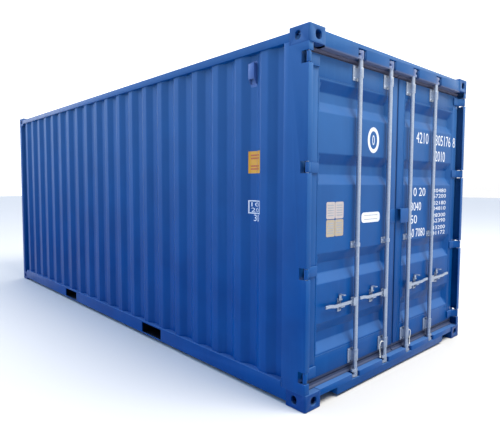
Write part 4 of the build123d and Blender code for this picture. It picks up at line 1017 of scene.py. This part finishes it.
emblem_ring()
slab_on_door("white_label", rounded_outline(*LABEL_OUTLINE), LABEL_MIDDLE, LEAF_FACE + MARK_GAP,
             FILM_THICKNESS, WHITE_FILM)
for line_number, line_height in enumerate(LABEL_LINE_HEIGHTS, start=1):
    slab_on_door(f"white_label_line_{line_number}", rounded_outline(*LABEL_LINE_OUTLINE),
                 (LABEL_MIDDLE[0], line_height), LEAF_FACE + MARK_GAP + FILM_THICKNESS, LINE_THICKNESS,
                 GREY_FILM)


def data_plates():
    """Four lacquered plates in two rows, each with blank etched fields and corner rivets."""
    plate_face = LEAF_FACE + MARK_GAP + PLATE_THICKNESS
    rivets = []
    for column, across in enumerate(PLATE_COLUMNS):
        for row, (up, material) in enumerate(zip(PLATE_ROWS, (PALE_PLATE, TAN_PLATE))):
            name = f"data_plate_{2 * row + column + 1}"
            slab_on_door(name, rounded_outline(*PLATE_OUTLINE), (across, up), LEAF_FACE + MARK_GAP,
                         PLATE_THICKNESS, material)
            for field in range(FIELD_COUNT):
                height = up + ((FIELD_COUNT - 1) / 2 - field) * FIELD_PITCH
                slab_on_door(f"{name}_field_{field + 1}", rounded_outline(*FIELD_OUTLINE), (across, height),
                             plate_face, FIELD_THICKNESS, GREY_FILM)
            rivets += corner_spots(plate_face, (across, up), PLATE_RIVET_REACH)
    heads("data_plate_rivets", "left_door", rivets, OUT_OF_DOOR, PLATE_RIVET, slot=None)


data_plates()


def side_wall_fall(x):
    """How far the left wall's outer face lies inside its rib plane at a place along X."""
    away = min(abs(x - rib) for rib in steps_between(SIDE_FOLDS))
    fall = (away - SIDE_FOLDS["Flat"] / 2) / SIDE_FOLDS["Slope"] * SIDE_FOLDS["Depth"]
    return min(max(fall, 0.0), SIDE_FOLDS["Depth"])


def film_on_wall(name, centre, size, material, rise=FILM_RISE):
    """A film that follows the left wall's folds: its centre along X and up, its width and height."""
    columns = 24
    points = []
    for z in (centre[1] - size[1] / 2, centre[1] + size[1] / 2):
        for i in range(columns + 1):
            x = centre[0] + size[0] * (i / columns - 0.5)
            points.append((x, side_wall_fall(x) - SIDE_PLANE - rise, z))
    faces = [(i, i + 1, columns + 2 + i, columns + 1 + i) for i in range(columns)]
    obj = built(name, points, faces)
    film = obj.modifiers.new("film", "SOLIDIFY")
    film.thickness = WALL_FILM_THICKNESS
    applied(obj)
    placed(obj, "container", material)


film_on_wall("yellow_film", (FILM_X, YELLOW_FILM_HEIGHT), YELLOW_FILM_SIZE, YELLOW_FILM)
for band, band_height in enumerate(BAND_HEIGHTS, start=1):
    film_on_wall(f"yellow_film_band_{band}", (FILM_X, band_height), BAND_SIZE, ORANGE_FILM, BAND_RISE)


def figures_on_wall():
    """A square outline with plain figures in it and under it, on the left wall."""
    for name, along, up, width, height in SQUARE_SIDES:
        film_on_wall("wall_square_" + name, (FILM_X + along * MM, SQUARE_MIDDLE + up * MM),
                     (width * MM, height * MM), WHITE_FILM)
    for number, figures in enumerate(SQUARE_FIGURES, start=1):
        name = f"wall_figures_{number}"
        mesh = figures_mesh(name, figures)
        for vertex in mesh.vertices:
            out, along, up = vertex.co
            x = FILM_X + along
            vertex.co = (x, side_wall_fall(x) - SIDE_PLANE - out, SQUARE_MIDDLE + up)
        placed(mesh_object(name, mesh), "container", WHITE_FILM)


figures_on_wall()


# Weld beads

def beads(name, body, lines, size):
    """Weld beads along some lines of points, by their radius and the length of a ripple."""
    points = []
    edges = []
    for line in lines:
        first = len(points)
        points += line
        edges += [(first + i, first + i + 1) for i in range(len(line) - 1)]
    obj = points_object(name, points, edges)
    grown(obj, WELD_BEAD, {"Radius": size[0], "Ripple": size[1], "Finish": BLUE})
    smoothed(obj, ROUND_SMOOTH)
    placed(obj, body, BLUE, "blue_paint")


wall_lines = []
joint_lines = []
for side in (-1, 1):
    steps = [WALL_FRONT + i * WALL_WELD[1] for i in range(round((WALL_REAR - WALL_FRONT) / WALL_WELD[1]))]
    for height in (WALL_LOW, WALL_HIGH):
        wall_lines.append([(x, side * (SIDE_PLANE - side_wall_fall(x)), height) for x in steps])
    for height in (CASTING_TOP, TOP_CASTING_LOW):
        joint_lines.append([(POST_FACE, side * end, height) for end in POST_WELD_SPAN])
    for span in (HEADER_SPAN, SILL_SPAN):
        joint_lines.append([(HEADER_FACE, side * CASTING_Y, height) for height in span])
beads("wall_welds", "container", wall_lines, WALL_WELD)
beads("casting_welds", "container", joint_lines, CASTING_WELD)
for side, body in DOORS:
    near, far = (side * edge for edge in PANEL_EDGES)
    low, high = LEAF_MIDDLE - PANEL_HALF, LEAF_MIDDLE + PANEL_HALF
    corners = [(near, low), (far, low), (far, high), (near, high), (near, low)]
    beads(body + "_panel_weld", body, [[(LEAF_FACE, y, z) for y, z in corners]], PANEL_WELD)


# Tie ropes

def rope_route(side):
    """The points of one rope's route, from its bar's bracket to its knot."""
    return [(BAR_X + x * MM, side * (BAR_PLACES[0] + y * MM), z * MM) for x, y, z in ROPE_ROUTE]


def smooth_line(points):
    """Points along one NURBS line through a route."""
    curve = bpy.data.curves.new("route", "CURVE")
    curve.dimensions = "3D"
    spline = curve.splines.new("NURBS")
    spline.points.add(len(points) - 1)
    for target, point in zip(spline.points, points):
        target.co = (*point, 1.0)
    spline.order_u = 3
    spline.use_endpoint_u = True
    spline.resolution_u = 12
    return [vertex.co.copy() for vertex in curve_mesh(curve).vertices]


def carried_frames(line):
    """Each point of a line with two ways square to the line, carried along it without a twist."""
    normal = (line[1] - line[0]).orthogonal()
    for index, spot in enumerate(line):
        ahead = (line[min(index + 1, len(line) - 1)] - line[max(index - 1, 0)]).normalized()
        normal = (normal - ahead * normal.dot(ahead)).normalized()
        yield spot, normal, ahead.cross(normal)


def beside(spot, normal, across, reach, angle):
    """A point beside a line, at a reach from it and an angle round it."""
    return spot + reach * (normal * math.cos(angle) + across * math.sin(angle))


def tube_mesh(lines, radius, sides=8):
    """Closed round tubes along some lines, as points and faces."""
    points = []
    faces = []
    for line in lines:
        first = len(points)
        for here in carried_frames(line):
            points += [beside(*here, radius, 2 * math.pi * side / sides) for side in range(sides)]
        for index in range(len(line) - 1):
            for side in range(sides):
                a = first + index * sides + side
                b = first + index * sides + (side + 1) % sides
                faces.append((a, b, b + sides, a + sides))
        faces.append(tuple(range(first, first + sides)))
        faces.append(tuple(range(len(points) - sides, len(points))))
    return points, faces


def laid_strands(line):
    """Lines that wind round a line as the strands of a laid rope."""
    wound = [[] for _ in range(STRAND_COUNT)]
    travelled = 0.0
    last = line[0]
    for here in carried_frames(line):
        travelled += (here[0] - last).length
        last = here[0]
        for number, strand in enumerate(wound):
            angle = 2 * math.pi * (number / STRAND_COUNT + travelled / LAY_LENGTH)
            strand.append(beside(*here, STRAND_REACH, angle))
    return wound


def knot_line(centre):
    """A closed line that ties itself once, for the knot at the rope's end."""
    line = []
    for step in range(KNOT_STEPS + 1):
        t = 2 * math.pi * step / KNOT_STEPS
        x = math.sin(t) + 2 * math.sin(2 * t)
        y = math.cos(t) - 2 * math.cos(2 * t)
        z = -math.sin(3 * t)
        line.append(Vector(centre) + KNOT_SIZE / 3 * Vector((z, x, y)))
    return line


def rope_piece(name, body, lines, radius):
    """A piece of rope: round tubes along some lines."""
    obj = built(name, *tube_mesh(lines, radius))
    smoothed(obj, ROUND_SMOOTH)
    return placed(obj, body, ROPE, "white_rope")


for side, body in DOORS:
    side_name = body.split("_")[0]
    route = rope_route(side)
    line = smooth_line(route)
    rope = rope_piece(side_name + "_laid_rope", body, laid_strands(line), STRAND_RADIUS)
    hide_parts(side_name + "_tie_rope")
    knot = rope_piece(side_name + "_rope_knot", body, [knot_line(route[-1])], KNOT_RADIUS)
    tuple(route[0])
    [tuple(spot) for spot in line]


# Floor, light and camera

def stage_floor():
    """A plain pale floor, far wider than the container."""
    corners = [(across * FLOOR_HALF, along * FLOOR_HALF, 0)
               for across, along in ((-1, -1), (1, -1), (1, 1), (-1, 1))]
    floor = points_object("stage_floor", corners, faces=[(0, 1, 2, 3)])
    material, tree, shader, _ = new_material("plain_pale_floor")
    set_inputs(tree, shader, {
        "Base Color": linear("#CECCC8"), "Roughness": 0.9, "Specular IOR Level": 0.1})
    floor.data.materials.append(material)


def soft_sky():
    """A pale sky that is brighter overhead than at the horizon."""
    world = bpy.data.worlds.new("soft_sky")
    world.use_nodes = True
    tree = world.node_tree
    way = add_node(tree, "ShaderNodeTexCoord").outputs["Generated"]
    height = add_node(tree, "ShaderNodeSeparateXYZ", [way]).outputs["Z"]

    def towards(place, near, far, low, high):
        """A value that rises as the way looked turns to a place."""
        closeness = add_node(tree, "ShaderNodeVectorMath", (way, place), operation="DOT_PRODUCT")
        return faded(tree, (closeness, near, far, low, high))

    shade = towards(SKY_SHADED_WAY, 0.6, 0.95, 1.0, 0.35)
    doors_shade = towards(SKY_DOORS_WAY, 0.2, 0.7, 1.0, 0.3)
    # Only the low sky in front of the doors is darker
    above = faded(tree, (height, 0.05, 0.3, 1.0, 0.0))
    darker = ("MINIMUM", shade, ("MAXIMUM", doors_shade, above))
    level = faded(tree, (height, 0.0, 0.25, SKY_LOW, SKY_HIGH))
    bright = towards(SKY_BRIGHT_WAY, 0.5, 0.95, 1.0, 1.9)
    blue = towards(SKY_SHADED_WAY, -0.2, 0.3, 0.0, 1.0)
    set_inputs(tree, tree.nodes["Background"], {
        "Color": tinted(tree, linear("#FFFFFF"), (blue, "#A8CCFF")),
        "Strength": worked_out(tree, ("MULTIPLY", ("MULTIPLY", level, bright), darker))})
    bpy.context.scene.world = world


def door_lamp():
    """A large square lamp over the doors."""
    light = bpy.data.lights.new("door_softbox", "AREA")
    light.size = LAMP_SIDE
    light.energy = LAMP_POWER
    light.color = LAMP_COLOUR
    lamp = bpy.data.objects.new("door_softbox", light)
    lamp.location = LAMP_PLACE
    lamp.rotation_mode = "QUATERNION"
    lamp.rotation_quaternion = (Vector(LAMP_TARGET) - Vector(LAMP_PLACE)).to_track_quat("-Z", "Y")
    bpy.context.scene.collection.objects.link(lamp)


def photo_camera():
    """The camera of the photograph."""
    data = bpy.data.cameras.new("photo_camera")
    data.sensor_width = 36.0
    data.lens = CAMERA_LENS
    data.shift_x, data.shift_y = CAMERA_SHIFT
    data.clip_start, data.clip_end = 0.05, 300.0
    camera = bpy.data.objects.new("photo_camera", data)
    flat = math.cos(CAMERA_TILT)
    forward = Vector((-math.cos(CAMERA_TURN) * flat, math.sin(CAMERA_TURN) * flat, math.sin(CAMERA_TILT)))
    camera.location = CAMERA_PLACE
    camera.rotation_mode = "QUATERNION"
    camera.rotation_quaternion = forward.to_track_quat("-Z", "Y") @ Quaternion((0, 0, 1), CAMERA_ROLL)
    bpy.context.scene.collection.objects.link(camera)
    bpy.context.scene.camera = camera


stage_floor()
soft_sky()
door_lamp()
photo_camera()
bpy.context.scene.view_settings.view_transform = "Standard"
